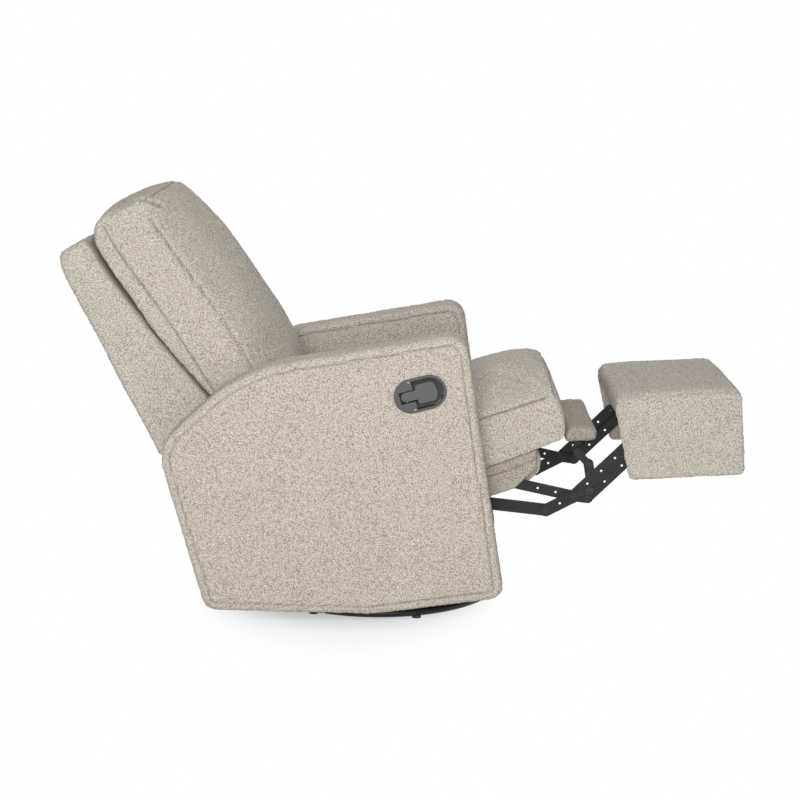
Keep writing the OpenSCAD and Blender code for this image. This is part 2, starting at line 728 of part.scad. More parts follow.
module zigzag(x0, x1, y, z, amp, bends) {
    steps = bends * 4;
    wire([for (k = [0 : steps])
        let (t = k / steps)
        [x0 + (x1 - x0) * t, y + amp * sin(360 * bends * t / 2), z]], spring_r, 5, [0, 0, 1]);
}
module seat_springs() color(zinc) seat_place() {
    pitch = 2 * (wood_y - wood_t) / spring_count;
    for (k = [0 : spring_count - 1])
        zigzag(frame_back, frame_front - 2 * spring_r, -wood_y + wood_t + pitch * (k + 0.5), spring_z, spring_amp, spring_bends);
}
deck_rear = 50;
deck_shape = rounded([
    [-deck_rear, -deck_h], [deck_front - 1.45 * deck_nose, -deck_h], [deck_front - deck_nose / 4, -0.8 * deck_nose],
    [deck_front, 0], [-deck_rear, 0]
], [2, deck_nose, deck_nose / 2, 2, 2], 4);
module seat_deck() color(cloth_dark) seat_place() {
    difference() {
        xz(-deck_side, deck_side) polygon(deck_shape);
        xz(-deck_side + deck_wall, deck_side - deck_wall) difference() {
            polygon([[-deck_rear - cut, -deck_h - cut], [frame_front + soft_gap, -deck_h - cut],
                [frame_front + soft_gap, spring_z + 2 * spring_r + soft_gap], [-deck_rear - cut, spring_z + 2 * spring_r + soft_gap]]);
        }
        // the runners pass through the side skirts
        translate([-deck_rear - cut, -deck_side - cut, slide_mid - slide_half_h / 2 - slide_gap])
            cube([deck_rear + runner_front + cut + slide_gap, 2 * deck_side + 2 * cut, slide_half_h + 2 * slide_gap]);
    }
}
cushion_edge_r = 30;
cushion_corner = [26, 40, 38, 30];
cushion_lean = 26;
cushion_drop = 8;
cushion_step = 60;
crown_turn = 125;
crown_power = 0.6;
seat_cushion_shape = stepped(rounded([
    [-seat_rear, soft_gap], [seat_front - cushion_lean, soft_gap],
    [seat_front, seat_cushion_h], [-seat_rear, seat_cushion_h - cushion_drop]
], cushion_corner, 5), cushion_step);
// The side profile bulges at mid height, and the crown grows towards the middle and the front
function crown_share(x) = pow(sin(crown_turn * max(0, x + seat_rear) / (seat_front + seat_rear)), crown_power);
function seat_ring(t) =
    let (d = cushion_edge_r * (1 - sqrt(1 - t * t)) / 2, up = seat_crown * (1 - t * t))
    [for (p = inset(seat_cushion_shape, d))
        let (h = (p.y - soft_gap) / seat_cushion_h)
        [p.x + (p.x > 0 ? cushion_lean / 3 * sin(180 * min(h, 1)) : 0),
         max(p.y, soft_gap) + up * h * crown_share(p.x)]];
cushion_across_shares = [-1, -0.985, -0.94, -0.86, -0.72, -0.5, -0.25, 0, 0.25, 0.5, 0.72, 0.86, 0.94, 0.985, 1];
module seat_cushion() color(cloth) seat_place()
    loft([for (t = cushion_across_shares) ring_at(seat_ring(t), t * seat_cushion_w / 2)]);

// Footrest linkage pivots in the seat's frame
rear_pivot = [338, -50];
tail_pivot = [260, -80];
rear_bar_a = -31.3;
main_bar_a = 25.5;
main_tail_a = 188.6;
front_off = [30.6, -15.1];
mid_pad_pivot_off = [58.2, 65.1];
cross_pivot = ray(rear_pivot, rear_bar_l, rear_bar_a);
tail_end = ray(cross_pivot, main_tail_l, main_tail_a);
front_low = cross_pivot + front_off;
foot_pivot = ray(cross_pivot, main_bar_l, main_bar_a);
front_top = foot_pivot + front_off;
mid_pivot = cross_pivot + mid_pad_pivot_off;
pin_bore = link_pin_d + 2 * run_gap;
open_slack = 6;
plate_low = 98;
plate_high = 12;
ear_r = 16;

module linkage_plate(s) color(steel) seat_place() mirror([0, s, 0]) difference() {
    union() {
        xz(bar_y1, bar_y1 + bar_t) {
            polygon([[pivot_x, -plate_low + ear_r], [tail_pivot.x - ear_r, -plate_low + ear_r],
                [tail_pivot.x, tail_pivot.y - ear_r], rear_pivot + [ear_r, -ear_r / 2],
                [rear_pivot.x, -plate_high], [pivot_x + 2 * ear_r, -plate_high], [pivot_x, -plate_high]]);
            dot(rear_pivot, 2 * ear_r);
            dot(tail_pivot, 2 * ear_r);
            bar([pivot_x, -(plate_low + plate_high) / 2], [pivot_x, pivot_z], 2 * ear_r);
        }
    }
    for (p = [rear_pivot, tail_pivot, [pivot_x, pivot_z]])
        y_cylinder(p, pin_bore / 2, bar_y1 - cut, bar_y1 + bar_t + cut);
    y_cylinder(linkage_tube_at, tube_r + run_gap, bar_y1 - cut, bar_y1 + bar_t + cut);
    for (p = seat_bolt_places) y_cylinder(p, arm_bolt_r + run_gap, bar_y1 - cut, bar_y1 + bar_t + cut);
}
linkage_tube_at = [60, -78];
seat_bolt_places = [[-95, -48], [60, -48], [250, -48]];
module linkage_tube() color(steel) seat_place() difference() {
    y_cylinder(linkage_tube_at, tube_r, -bar_y1 - bar_t, bar_y1 + bar_t);
    y_cylinder(linkage_tube_at, tube_r - beam_wall, -bar_y1 - bar_t - cut, bar_y1 + bar_t + cut);
}
module seat_bolts() color(zinc) seat_place() {
    for (s = [0, 1]) mirror([0, s, 0]) for (p = seat_bolt_places) {
        y_cylinder(p, arm_bolt_r, wood_y - wood_t / 2, bar_y1 + bar_t + bolt_head_h / 2);
        y_cylinder(p, 2 * arm_bolt_r, wood_y, bar_y1);
        y_cylinder(p, 2 * arm_bolt_r, bar_y1 + bar_t, bar_y1 + bar_t + bolt_head_h / 2);
    }
}
module plate_pivots() color(zinc) seat_place() {
    r = link_pin_d / 2;
    rivet_pair(rear_pivot, r, bar_y1, bar_y2 + bar_t, pin_head_r, pin_head_h);
    rivet_pair(tail_pivot, r, bar_y1, bar_y2 + bar_t, ear_r, pin_head_h);
    rivet_pair([pivot_x, pivot_z], r, bar_y1 - bar_t - plane_gap, bar_y1 + bar_t, pin_head_r, pin_head_h);
}
module bar_holes(p, q, count) {
    for (k = [1 : count]) dot(p + (q - p) * k / (count + 1), link_pin_d * 0.75);
}
module rear_bars() color(steel) seat_place() xz_pair(bar_y2, bar_y2 + bar_t) difference() {
    union() {
        bar(rear_pivot, cross_pivot, side_bar_w);
        bar(cross_pivot, front_low, side_bar_w);
    }
    for (p = [rear_pivot, cross_pivot, front_low]) dot(p, pin_bore);
    bar_holes(rear_pivot, cross_pivot, 3);
}
module rear_bar_pins() color(zinc) seat_place()
    rivet_pair(front_low, link_pin_d / 2, bar_y1, bar_y2 + bar_t, pin_head_r, pin_head_h);
main_taper = 0.8;
module main_bars() color(steel) seat_place() xz_pair(bar_y3, bar_y3 + bar_t) difference() {
    union() {
        bar(tail_end, cross_pivot, main_bar_w);
        bar(cross_pivot, cross_pivot + (foot_pivot - cross_pivot) * main_taper, main_bar_w);
        bar(cross_pivot, foot_pivot, main_bar_w * main_taper);
        bar(cross_pivot + (foot_pivot - cross_pivot) / 4, mid_pivot, main_bar_w * main_taper);
    }
    for (p = [tail_end, cross_pivot, foot_pivot, mid_pivot]) dot(p, pin_bore);
    bar_holes(tail_end, cross_pivot, 1);
    bar_holes(cross_pivot, foot_pivot, 4);
}
module main_bar_pins() color(zinc) seat_place() {
    r = link_pin_d / 2;
    // flush inside, because the front bar passes there when folded
    rivet_pair(cross_pivot, r, bar_y2, bar_y3 + bar_t, pin_head_r, pin_head_h, inner = 0);
    rivet_pair(tail_end, r, bar_y2, bar_y3 + bar_t, pin_head_r, pin_head_h);
    rivet_pair(foot_pivot, r, bar_y2, bar_y3 + bar_t, pin_head_r, pin_head_h);
    rivet_pair(mid_pivot, r, bar_y3, bar_y4 + mid_arm_t, pin_head_r, mid_arm_t / 2, inner = 0);
}
bumper_r = 11;
bumper_h = 5;
bumper_at = cross_pivot + (foot_pivot - cross_pivot) * 0.16 + turned([0, -main_bar_w / 2], main_bar_a);
module link_bumpers() color(rubber) seat_place() {
    for (s = [0, 1]) mirror([0, s, 0]) y_cylinder(bumper_at, bumper_r, bar_y3 + bar_t, bar_y3 + bar_t + pin_head_h);
}
module tail_bars() color(steel) seat_place() xz_pair(bar_y2, bar_y2 + bar_t) difference() {
    union() {
        bar(tail_pivot, tail_end, main_bar_w);
        dot(tail_pivot, main_bar_w + open_slack);
    }
    dot(tail_pivot, link_pin_d + 2 * open_slack);
    dot(tail_end, pin_bore);
}
module front_bars() color(steel) seat_place() xz_pair(bar_y1, bar_y1 + bar_t) difference() {
    bar(front_low, front_top, side_bar_w);
    for (p = [front_low, front_top]) dot(p, pin_bore);
    bar_holes(front_low, front_top, 3);
}

// Footrest: a padded board with flaps on a pair of brackets
foot_x = 664;
foot_z = 65;
foot_pitch = 15.5;
foot_edge_r = 26;
flap_cut = 20;
foot_board_t = 15;
foot_margin = 24;
module foot_place() { seat_place() translate([foot_x, 0, foot_z]) rotate([0, foot_pitch, 0]) children(); }
function in_foot(p) = turned(p - [foot_x, foot_z], foot_pitch);
foot_points = [[0, -foot_top_t], [flap_cut, -flap_h], [foot_l, -flap_h], [foot_l, 0], [0, 0]];
foot_radii = [20, 14, 16, foot_edge_r, foot_edge_r];
foot_inner = [
    [-cut, -flap_h - cut], [foot_l - flap_t, -flap_h - cut], [foot_l - flap_t, -foot_top_t], [-cut, -foot_top_t]
];
module footrest_cover() color(cloth) foot_place() difference() {
    loft(slab_rings(foot_points, foot_radii, -flap_out, flap_out, flap_t - cut));
    xz(-flap_in, flap_in) polygon(foot_inner);
}
module footrest_board() color(wood) foot_place()
    translate([foot_margin, -flap_in + soft_gap, -foot_top_t - foot_board_t - soft_gap / 3])
        cube([foot_l - flap_t - 2 * foot_margin, 2 * (flap_in - soft_gap), foot_board_t]);
bracket_top = -foot_top_t - foot_board_t - soft_gap;
bracket_flange = 26;
bracket_r = 13;
foot_pivot_f = in_foot(foot_pivot);
front_top_f = in_foot(front_top);
bracket_l = 120;
module footrest_brackets() color(steel) foot_place() {
    y0 = bar_y2;
    difference() {
        xz_pair(y0, y0 + bar_t) {
            polygon([foot_pivot_f + [-bracket_r, 0], foot_pivot_f + [0, -bracket_r], front_top_f + [0, -bracket_r],
                front_top_f + [bracket_r, 0], [foot_pivot_f.x + bracket_l, bracket_top], [foot_pivot_f.x - bracket_r, bracket_top]]);
            dot(foot_pivot_f, 2 * bracket_r);
            dot(front_top_f, 2 * bracket_r);
        }
        for (p = [foot_pivot_f, front_top_f]) y_cylinder_pair(p, pin_bore / 2, y0 - cut, y0 + bar_t + cut);
    }
    for (s = [0, 1]) mirror([0, s, 0])
        translate([foot_pivot_f.x - bracket_r, y0 - bracket_flange, bracket_top - bar_t])
            cube([bracket_l + bracket_r, bracket_flange + bar_t, bar_t]);
}
module footrest_pins() color(zinc) foot_place()
    rivet_pair(front_top_f, link_pin_d / 2, bar_y1, bar_y2 + bar_t, pin_head_r, pin_head_h, outer = 0);

// Small pad between the seat and the footrest
mid_pad_x = 520;
mid_pad_z = 14;
mid_pad_l = 76;
mid_pad_h = 32;
mid_pad_pitch = 15;
mid_pad_t = 18;
mid_board_t = 8;
mid_edge_r = 14;
module mid_place() { seat_place() translate([mid_pad_x, 0, mid_pad_z]) rotate([0, mid_pad_pitch, 0]) children(); }
mid_points = [[0, -mid_pad_h], [mid_pad_l, -mid_pad_h], [mid_pad_l, 0], [0, 0]];
mid_radii = [8, 10, mid_edge_r, 12];
mid_inner = [
    [flap_t, -mid_pad_h - cut], [mid_pad_l - flap_t, -mid_pad_h - cut], [mid_pad_l - flap_t, -mid_pad_t], [flap_t, -mid_pad_t]
];
module mid_pad_cover() color(cloth_dark) mid_place() difference() {
    loft(slab_rings(mid_points, mid_radii, -mid_pad_w / 2, mid_pad_w / 2, flap_t - 2 * cut));
    xz(-mid_pad_w / 2 + flap_t, mid_pad_w / 2 - flap_t) polygon(mid_inner);
}
function in_mid(p) = turned(p - [mid_pad_x, mid_pad_z], mid_pad_pitch);
mid_pivot_m = in_mid(mid_pivot);
mid_arm_w = 16;
mid_arm_t = 2.5;
mid_arm_x = 36;
mid_crank_l = 40;
mid_crank_a = 130;
mid_crank = ray(mid_pivot_m, mid_crank_l, mid_crank_a);
mid_strip_low = -mid_pad_t - mid_board_t - soft_gap;
module mid_pad_bracket() color(steel) mid_place() {
    // a strip under the padding, arms below it, cranks that pass over the bars and ears outside them
    translate([flap_t + soft_gap, -mid_pad_w / 2 + flap_t + soft_gap, mid_strip_low])
        cube([mid_pad_l - 2 * (flap_t + soft_gap), mid_pad_w - 2 * (flap_t + soft_gap), mid_board_t]);
    arm_y = mid_pad_w / 2 - flap_t - soft_gap - bar_t;
    xz_pair(arm_y, arm_y + bar_t) bar(mid_crank, [mid_arm_x, mid_strip_low - cut], mid_arm_w);
    xz_pair(arm_y, bar_y4 + mid_arm_t)
        translate(mid_crank) rotate(bearing(mid_pivot_m, mid_crank)) square([bar_t, mid_arm_w], center = true);
    difference() {
        xz_pair(bar_y4, bar_y4 + mid_arm_t) bar(mid_pivot_m, mid_crank, mid_arm_w + bar_t / 2);
        y_cylinder_pair(mid_pivot_m, pin_bore / 2, bar_y4 - cut, bar_y4 + bar_t);
    }
}

// Back: brackets, frame, springs, shell and cushion in the shell's own frame
back_foot_x = -464;
back_foot_z = 459;
module back_place() { body_place() translate([back_foot_x, 0, back_foot_z]) rotate([0, -shell_lean, 0]) children(); }
function in_back(p) = turned(p - [back_foot_x, back_foot_z], -shell_lean);
pivot_back = in_back(pivot_body);
guide_back = in_back(guide_pin);
back_bar_w = 34;
stile_w = 30;
stile_low = -40;
stile_top = shell_h - 60;
stile_foot = [128, 176];
stile_head = [24, 66];
rail_band = 44;
back_y = bar_y1 - bar_t - plane_gap;
stile_shape = [[stile_foot.x, stile_low], [stile_foot.y, stile_low], [stile_head.y, stile_top], [stile_head.x, stile_top]];
function stile_front(z) = stile_foot.y + (stile_head.y - stile_foot.y) * (z - stile_low) / (stile_top - stile_low);
bracket_bend = [(stile_foot.x + stile_foot.y) / 2, stile_low + back_bar_w / 2];
bracket_head = [stile_front(stile_low + 4 * back_bar_w) - back_bar_w * 0.7, stile_low + 4 * back_bar_w];
module back_brackets() color(steel) back_place() {
    xz_pair(back_y, back_y + bar_t) difference() {
        union() {
            bar(pivot_back, bracket_bend, back_bar_w);
            bar(bracket_bend, bracket_head, back_bar_w);
        }
        dot(pivot_back, pin_bore);
        dot(guide_back, 2 * (guide_pin_r + run_gap));
        for (k = [0.3, 0.9]) dot(bracket_bend + k * (bracket_head - bracket_bend), link_pin_d);
    }
}
module back_frame() color(wood) back_place() {
    xz_pair(back_y - stile_w, back_y) polygon(stile_shape);
    xz(-back_y, back_y) intersection() {
        polygon([for (p = stile_shape) p - [p.x == stile_foot.y || p.x == stile_head.y ? wood_t : 0, 0]]);
        for (z = [stile_low, (stile_low + stile_top - rail_band) / 2, stile_top - rail_band])
            translate([0, z]) square([stile_foot.y, rail_band]);
    }
}
module back_springs() color(zinc) back_place() {
    rise = stile_top - stile_low - 2 * rail_band;
    steps = spring_bends * 4;
    for (k = [0 : spring_count - 1])
        wire([for (i = [0 : steps])
            let (t = i / steps, z = stile_low + rail_band + rise * (k + 0.5) / spring_count + spring_amp * sin(180 * spring_bends * t))
            [stile_front(z) - 2 * spring_r, (2 * t - 1) * (back_y - stile_w - spring_r), z]], spring_r, 5, [1, 0, 0]);
}
shell_wall = 16;
shell_tail = 120;
shell_tail_x = 70;
shell_tail_d = 200;
shell_mid_share = 0.66;
shell_mid_d = 122;
shell_arm_share = 0.16;
shell_arm_d = 165;
shell_crest = 22;
shell_edge_r = 13;
shell_points = [
    [shell_tail_x, -shell_tail], [shell_tail_d, -shell_tail], [shell_arm_d, shell_h * shell_arm_share],
    [shell_mid_d, shell_h * shell_mid_share], [shell_top_d, shell_h + shell_crest], [0, shell_h], [0, shell_edge_r / 3]
];
shell_radii = [16, 16, 0, 0, 20, 26, 0];
shell_cavity = rounded([
    [shell_tail_x + shell_wall, -shell_tail - shell_wall], [shell_tail_d + shell_wall, -shell_tail - shell_wall],
    [shell_arm_d + shell_wall, shell_h * shell_arm_share], [shell_mid_d + shell_wall, shell_h * shell_mid_share],
    [shell_top_d + shell_wall, shell_h - shell_wall], [shell_wall, shell_h - shell_wall], [shell_wall, shell_edge_r]
], [0, 0, 0, 0, 0, 12, 0], 4);
module back_shell() color(cloth) back_place() difference() {
    loft(slab_rings(shell_points, shell_radii, -back_w / 2, back_w / 2, shell_edge_r));
    xz(-back_w / 2 + shell_wall, back_w / 2 - shell_wall) polygon(shell_cavity);
    y_cylinder(guide_back, guide_pin_r + run_gap, -back_w / 2 - cut, -back_w / 2 + shell_wall + cut);
    y_cylinder(guide_back, guide_pin_r + run_gap, back_w / 2 - shell_wall - cut, back_w / 2 + cut);
}
module back_guide_pins() color(zinc) back_place()
    for (s = [0, 1]) mirror([0, s, 0]) {
        y_cylinder(guide_back, guide_pin_r, back_y - pin_head_h, arm_in - soft_gap);
        y_cylinder(guide_back, pin_head_r, back_y - pin_head_h, back_y);
    }

// The back cushion's side profile, from its lower rear corner round to the front
cushion_low = 118;
cushion_low_rear = 205;
cushion_low_front = 282;
cushion_belly_share = 0.16;
back_cushion_edge = 34;
back_rear_crown = 3;
back_top_crown = 16;
cushion_stand = back_rear_crown + 2 * soft_gap;
back_cushion_shape = rounded([
    [cushion_low_rear + 2 * soft_gap, -cushion_low], [cushion_low_front, -cushion_low],
    [cushion_low_front, shell_h * cushion_belly_share], [back_seam_d, back_cushion_top],
    [shell_top_d + cushion_stand, back_cushion_top], [shell_top_d + cushion_stand, shell_h + shell_crest],
    [shell_mid_d + cushion_stand, shell_h * shell_mid_share], [shell_arm_d + cushion_stand, shell_h * shell_arm_share]
], [24, 40, 200, 50, 20, 0, 0, 0], 5);
function back_ring(t) =
    let (e = back_cushion_edge * (1 - sqrt(1 - t * t)) / 2.5, c = back_crown * pow(1 - t * t, 0.6))
    let (front = swollen(back_cushion_shape, c - e, [1, 0.18]))
    swollen(swollen(front, back_top_crown * (1 - t * t) - e, [0, 1]), back_rear_crown * pow(1 - t * t, 2), [-1, 0]);
module back_cushion() color(cloth) back_place()
    loft([for (t = cushion_across_shares) ring_at(back_ring(t), t * (back_w / 2))]);

base_ring();
base_feet();
bearing_lower();
bearing_balls();
swivel_bolt();
bearing_upper();
glider_frame();
turntable_bolts();
glide_top_pins();
glide_links_rear();
glide_links_front();
side_rail(1);  // side_rail_right
side_rail(0);  // side_rail_left
glide_low_pins();
chassis_tubes();
slide_channels();
arm_frame(1);  // arm_frame_right
arm_frame(0);  // arm_frame_left
arm_cover(1);  // arm_cover_right
arm_cover(0);  // arm_cover_left
arm_bolts();
rear_board();
rear_cover();
guide_plates();
handle_cup();
handle_screws();
lever_pin();
release_lever();
slide_runners();
seat_frame();
seat_springs();
seat_deck();
seat_cushion();
linkage_plate(1);  // linkage_plate_right
linkage_plate(0);  // linkage_plate_left
linkage_tube();
seat_bolts();
plate_pivots();
back_brackets();
back_frame();
back_springs();
back_shell();
back_cushion();
back_guide_pins();
rear_bars();
rear_bar_pins();
main_bars();
main_bar_pins();
link_bumpers();
tail_bars();
front_bars();
footrest_brackets();
footrest_board();
footrest_cover();
footrest_pins();
mid_pad_bracket();
mid_pad_cover();
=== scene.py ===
import json
from math import radians, sin, cos, tan, acos, exp, pi
import bpy
import bmesh
from mathutils import Vector, Matrix, noise, kdtree

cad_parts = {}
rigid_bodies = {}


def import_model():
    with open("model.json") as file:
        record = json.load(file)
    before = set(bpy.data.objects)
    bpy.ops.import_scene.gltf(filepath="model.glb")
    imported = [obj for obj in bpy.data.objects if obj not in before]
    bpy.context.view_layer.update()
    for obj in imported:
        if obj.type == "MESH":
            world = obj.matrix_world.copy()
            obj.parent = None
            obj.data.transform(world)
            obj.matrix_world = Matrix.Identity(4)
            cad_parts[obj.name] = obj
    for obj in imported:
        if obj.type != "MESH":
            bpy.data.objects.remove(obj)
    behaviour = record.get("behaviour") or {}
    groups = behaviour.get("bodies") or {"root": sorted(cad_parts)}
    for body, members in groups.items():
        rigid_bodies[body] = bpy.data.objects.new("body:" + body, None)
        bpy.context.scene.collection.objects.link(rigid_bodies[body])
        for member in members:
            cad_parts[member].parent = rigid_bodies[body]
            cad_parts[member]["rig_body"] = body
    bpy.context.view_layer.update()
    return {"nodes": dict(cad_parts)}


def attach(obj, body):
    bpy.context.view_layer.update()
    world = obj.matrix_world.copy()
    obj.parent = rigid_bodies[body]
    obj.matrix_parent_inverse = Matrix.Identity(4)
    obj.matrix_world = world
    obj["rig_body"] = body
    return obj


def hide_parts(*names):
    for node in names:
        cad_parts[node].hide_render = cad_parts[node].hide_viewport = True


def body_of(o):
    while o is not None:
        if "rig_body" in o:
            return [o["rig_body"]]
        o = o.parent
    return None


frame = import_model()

scene = bpy.context.scene
print("frame loaded")

# Lengths are in metres and angles in degrees. The body leans back at the rear end of its glide,
# the seat is pitched up in it, and the footrest and the middle pad are placed from the seat.
chair = {
    "bodyTilt": 7.8,
    "seatHeight": 0.270, "seatPitch": 11,
    "shellFoot": (-0.464, 0.459), "shellLean": 18.6,
    "footrestCorner": (0.664, 0.065), "footrestPitch": 15.5,
    "midPadCorner": (0.520, 0.014), "midPadPitch": 15,
    "handle": (0.179, 0.542), "handleTurn": 6.7,
    "armInner": 0.262, "armOuter": 0.360,
}


def turnedUp(angle):
    return Matrix.Rotation(-radians(angle), 4, "Y")


def movedTo(x, z):
    return Matrix.Translation((x, 0, z))


bodyPlace = turnedUp(chair["bodyTilt"])
seatPlace = bodyPlace @ movedTo(0, chair["seatHeight"]) @ turnedUp(chair["seatPitch"])
backPlace = bodyPlace @ movedTo(*chair["shellFoot"]) @ turnedUp(chair["shellLean"])
footPlace = seatPlace @ movedTo(*chair["footrestCorner"]) @ turnedUp(-chair["footrestPitch"])
midPlace = seatPlace @ movedTo(*chair["midPadCorner"]) @ turnedUp(-chair["midPadPitch"])
handlePlace = bodyPlace @ movedTo(*chair["handle"]) @ turnedUp(chair["handleTurn"])


# A value inside a shader; sums written with it become maths nodes
class Value:
    def __init__(self, shade, socket):
        self.shade = shade
        self.socket = socket

    def maths(self, operation, a, b):
        return self.shade.node("ShaderNodeMath", {"operation": operation}, {0: a, 1: b})[0]

    def __add__(self, other):
        return self.maths("ADD", self, other)

    def __radd__(self, other):
        return self.maths("ADD", other, self)

    def __sub__(self, other):
        return self.maths("SUBTRACT", self, other)

    def __rsub__(self, other):
        return self.maths("SUBTRACT", other, self)

    def __mul__(self, other):
        return self.maths("MULTIPLY", self, other)

    def __gt__(self, other):
        return self.maths("GREATER_THAN", self, other)

    def swing(self, amount):
        # noise lies about its middle, 0.5; this gives a change to both sides of nothing
        return (self - 0.5) * amount


class Shade:
    def __init__(self, name):
        self.material = bpy.data.materials.new(name)
        self.material.use_nodes = True
        self.tree = self.material.node_tree
        self.tree.nodes.clear()

    def node(self, kind, settings=None, inputs=None):
        made = self.tree.nodes.new(kind)
        for key, setting in (settings or {}).items():
            setattr(made, key, setting)
        for key, given in (inputs or {}).items():
            socket = made.inputs[key]
            if isinstance(given, Value):
                self.tree.links.new(given.socket, socket)
            else:
                socket.default_value = given
        return [Value(self, out) for out in made.outputs]

    def colourMix(self, factor, first, second, blend="MIX"):
        return self.node("ShaderNodeMix", {"data_type": "RGBA", "blend_type": blend},
                         {0: factor, 6: first, 7: second})[2]

    def place(self, scale=(1, 1, 1)):
        coords = self.node("ShaderNodeTexCoord")[3]
        if scale == (1, 1, 1):
            return coords
        return self.node("ShaderNodeMapping", None, {0: coords, 3: scale})[0]

    def noise(self, at, scale, detail=2.0, roughness=0.5):
        return self.node("ShaderNodeTexNoise", None,
                         {"Vector": at, "Scale": scale, "Detail": detail, "Roughness": roughness})

    def ramp(self, factor, stops):
        colour = self.node("ShaderNodeValToRGB", None, {0: factor})[0]
        elements = colour.socket.node.color_ramp.elements
        while len(elements) < len(stops):
            elements.new(0.5)
        for element, (place, tint) in zip(elements, stops):
            element.position = place
            element.color = tint
        return colour

    def smoothRange(self, value, low, high, **ends):
        inputs = {0: value, 1: low, 2: high}
        if ends:
            inputs.update({3: ends["start"], 4: ends["end"]})
        return self.node("ShaderNodeMapRange", {"interpolation_type": "SMOOTHSTEP"}, inputs)[0]

    def bump(self, height, strength, distance):
        return self.node("ShaderNodeBump", None,
                         {"Strength": strength, "Distance": distance, "Height": height})[0]

    def finish(self, **inputs):
        named = {key.replace("_", " "): given for key, given in inputs.items()}
        surface = self.node("ShaderNodeBsdfPrincipled", None, named)[0]
        self.node("ShaderNodeOutputMaterial", None, {0: surface})
        return self.material


# Looped boucle yarn, wound about and fuzzy. Its colour ramp follows the loops' height: painted
# shade in the gaps between the domed loops and painted light on their tips
boucle = {
    # the gap stop is painted shade between the loops, the last stop painted light on their tops
    "gap": (0.14, (0.310, 0.268, 0.220, 1)),
    "loop": (0.46, (0.635, 0.590, 0.525, 1)),
    "paintedLightTip": (0.80, (0.870, 0.832, 0.768, 1)),
    # the seam colour is painted shade along the sunk seam creases
    "seam": (0.16, 0.13, 0.10, 1), "seamShadeShare": 0.75,
    "cellScale": 390, "scatter": 0.85, "dome": 1.2, "fall": 1.5, "domeShare": 0.72,
    "curlScale": 420, "curl": 0.0022, "fluffScale": 900, "fluffShare": 0.9,
    "patchScale": 8.0, "patchShare": 0.06, "bump": 0.0026, "strength": 1.0,
}


def boucleCloth(name, tintAndShade=(1, 1, 1, 1)):
    shade = Shade(name)
    at = shade.place()
    drift = shade.noise(at, boucle["curlScale"], detail=1.0)[1]
    winding = shade.node("ShaderNodeVectorMath", {"operation": "MULTIPLY_ADD"},
                         {0: drift, 1: (boucle["curl"],) * 3, 2: at})[0]
    cells = shade.node("ShaderNodeTexVoronoi", {"feature": "F1"},
                       {"Vector": winding, "Scale": boucle["cellScale"],
                        "Randomness": boucle["scatter"]})[0]
    fluff = shade.noise(at, boucle["fluffScale"], detail=3.0, roughness=0.65)[0]
    domes = (boucle["dome"] - cells * boucle["fall"]) * boucle["domeShare"]
    height = domes + fluff.swing(boucle["fluffShare"])
    patch = shade.noise(at, boucle["patchScale"])[0]
    # the ramp paints shade into the low gaps and light onto the high tips; patch is the yarn's own
    # uneven colour
    woolAndPaintedShade = shade.ramp(height + patch.swing(boucle["patchShare"]),
                      [boucle["gap"], boucle["loop"], boucle["paintedLightTip"]])
    # multiplies in each cloth's tint; for the mid pad it is painted shade
    tonedWool = shade.colourMix(1.0, woolAndPaintedShade, tintAndShade, "MULTIPLY")
    # painted shade along the seams, where sewn() marks them
    seam = shade.node("ShaderNodeAttribute", {"attribute_name": "seam"})[2]
    colour = shade.colourMix(seam * boucle["seamShadeShare"], tonedWool, boucle["seam"])
    bump = shade.bump(height, boucle["strength"], boucle["bump"])
    return shade.finish(Base_Color=colour, Roughness=0.95, Normal=bump, Sheen_Weight=0.10,
                        Sheen_Roughness=0.6, Specular_IOR_Level=0.15)


def paintedSteel(name, colour=(0.006, 0.0065, 0.008, 1), rough=0.42):
    shade = Shade(name)
    at = shade.place()
    mottle = shade.noise(at, 900, detail=3.0, roughness=0.6)[0]
    smudge = shade.noise(at, 18, detail=3.0, roughness=0.6)[0]
    scratch = shade.noise(shade.place((40, 900, 260)), 1.0)[0]
    bareSteel = (0.10, 0.10, 0.105, 1)
    tint = shade.colourMix((scratch > 0.70) * 0.25, colour, bareSteel)
    return shade.finish(Base_Color=tint, Roughness=rough + smudge.swing(0.25) + mottle.swing(0.1),
                        Metallic=0.0, Normal=shade.bump(mottle, strength=0.25, distance=0.0004),
                        Coat_Weight=0.10, Coat_Roughness=0.30, Specular_IOR_Level=0.28)


def platedSteel(name, colour=(0.42, 0.42, 0.43, 1), rough=0.34):
    shade = Shade(name)
    stain = shade.noise(shade.place(), 60, detail=3.0, roughness=0.6)[0]
    grain = shade.noise(shade.place((300, 300, 1500)), 1.0)[0]
    stained = (colour[0] * 0.72, colour[1] * 0.71, colour[2] * 0.68, 1)
    return shade.finish(Base_Color=shade.colourMix(stain, stained, colour),
                        Roughness=rough + grain.swing(0.2), Metallic=0.9,
                        Normal=shade.bump(grain, strength=0.15, distance=0.0003))


def plywood(name):
    shade = Shade(name)
    rings = shade.noise(shade.place((6, 30, 120)), 1.0, detail=4.0, roughness=0.6)[0]
    pores = shade.noise(shade.place((60, 700, 700)), 1.0)[0]
    veneer = shade.ramp(rings, [(0.35, (0.36, 0.23, 0.12, 1)), (0.5, (0.50, 0.35, 0.20, 1)),
                                (0.68, (0.62, 0.46, 0.29, 1))])
    poreColour = (0.22, 0.14, 0.08, 1)
    return shade.finish(Base_Color=shade.colourMix((pores > 0.62) * 0.5, veneer, poreColour),
                        Roughness=0.72,
                        Normal=shade.bump(rings + pores, strength=0.2, distance=0.0006))


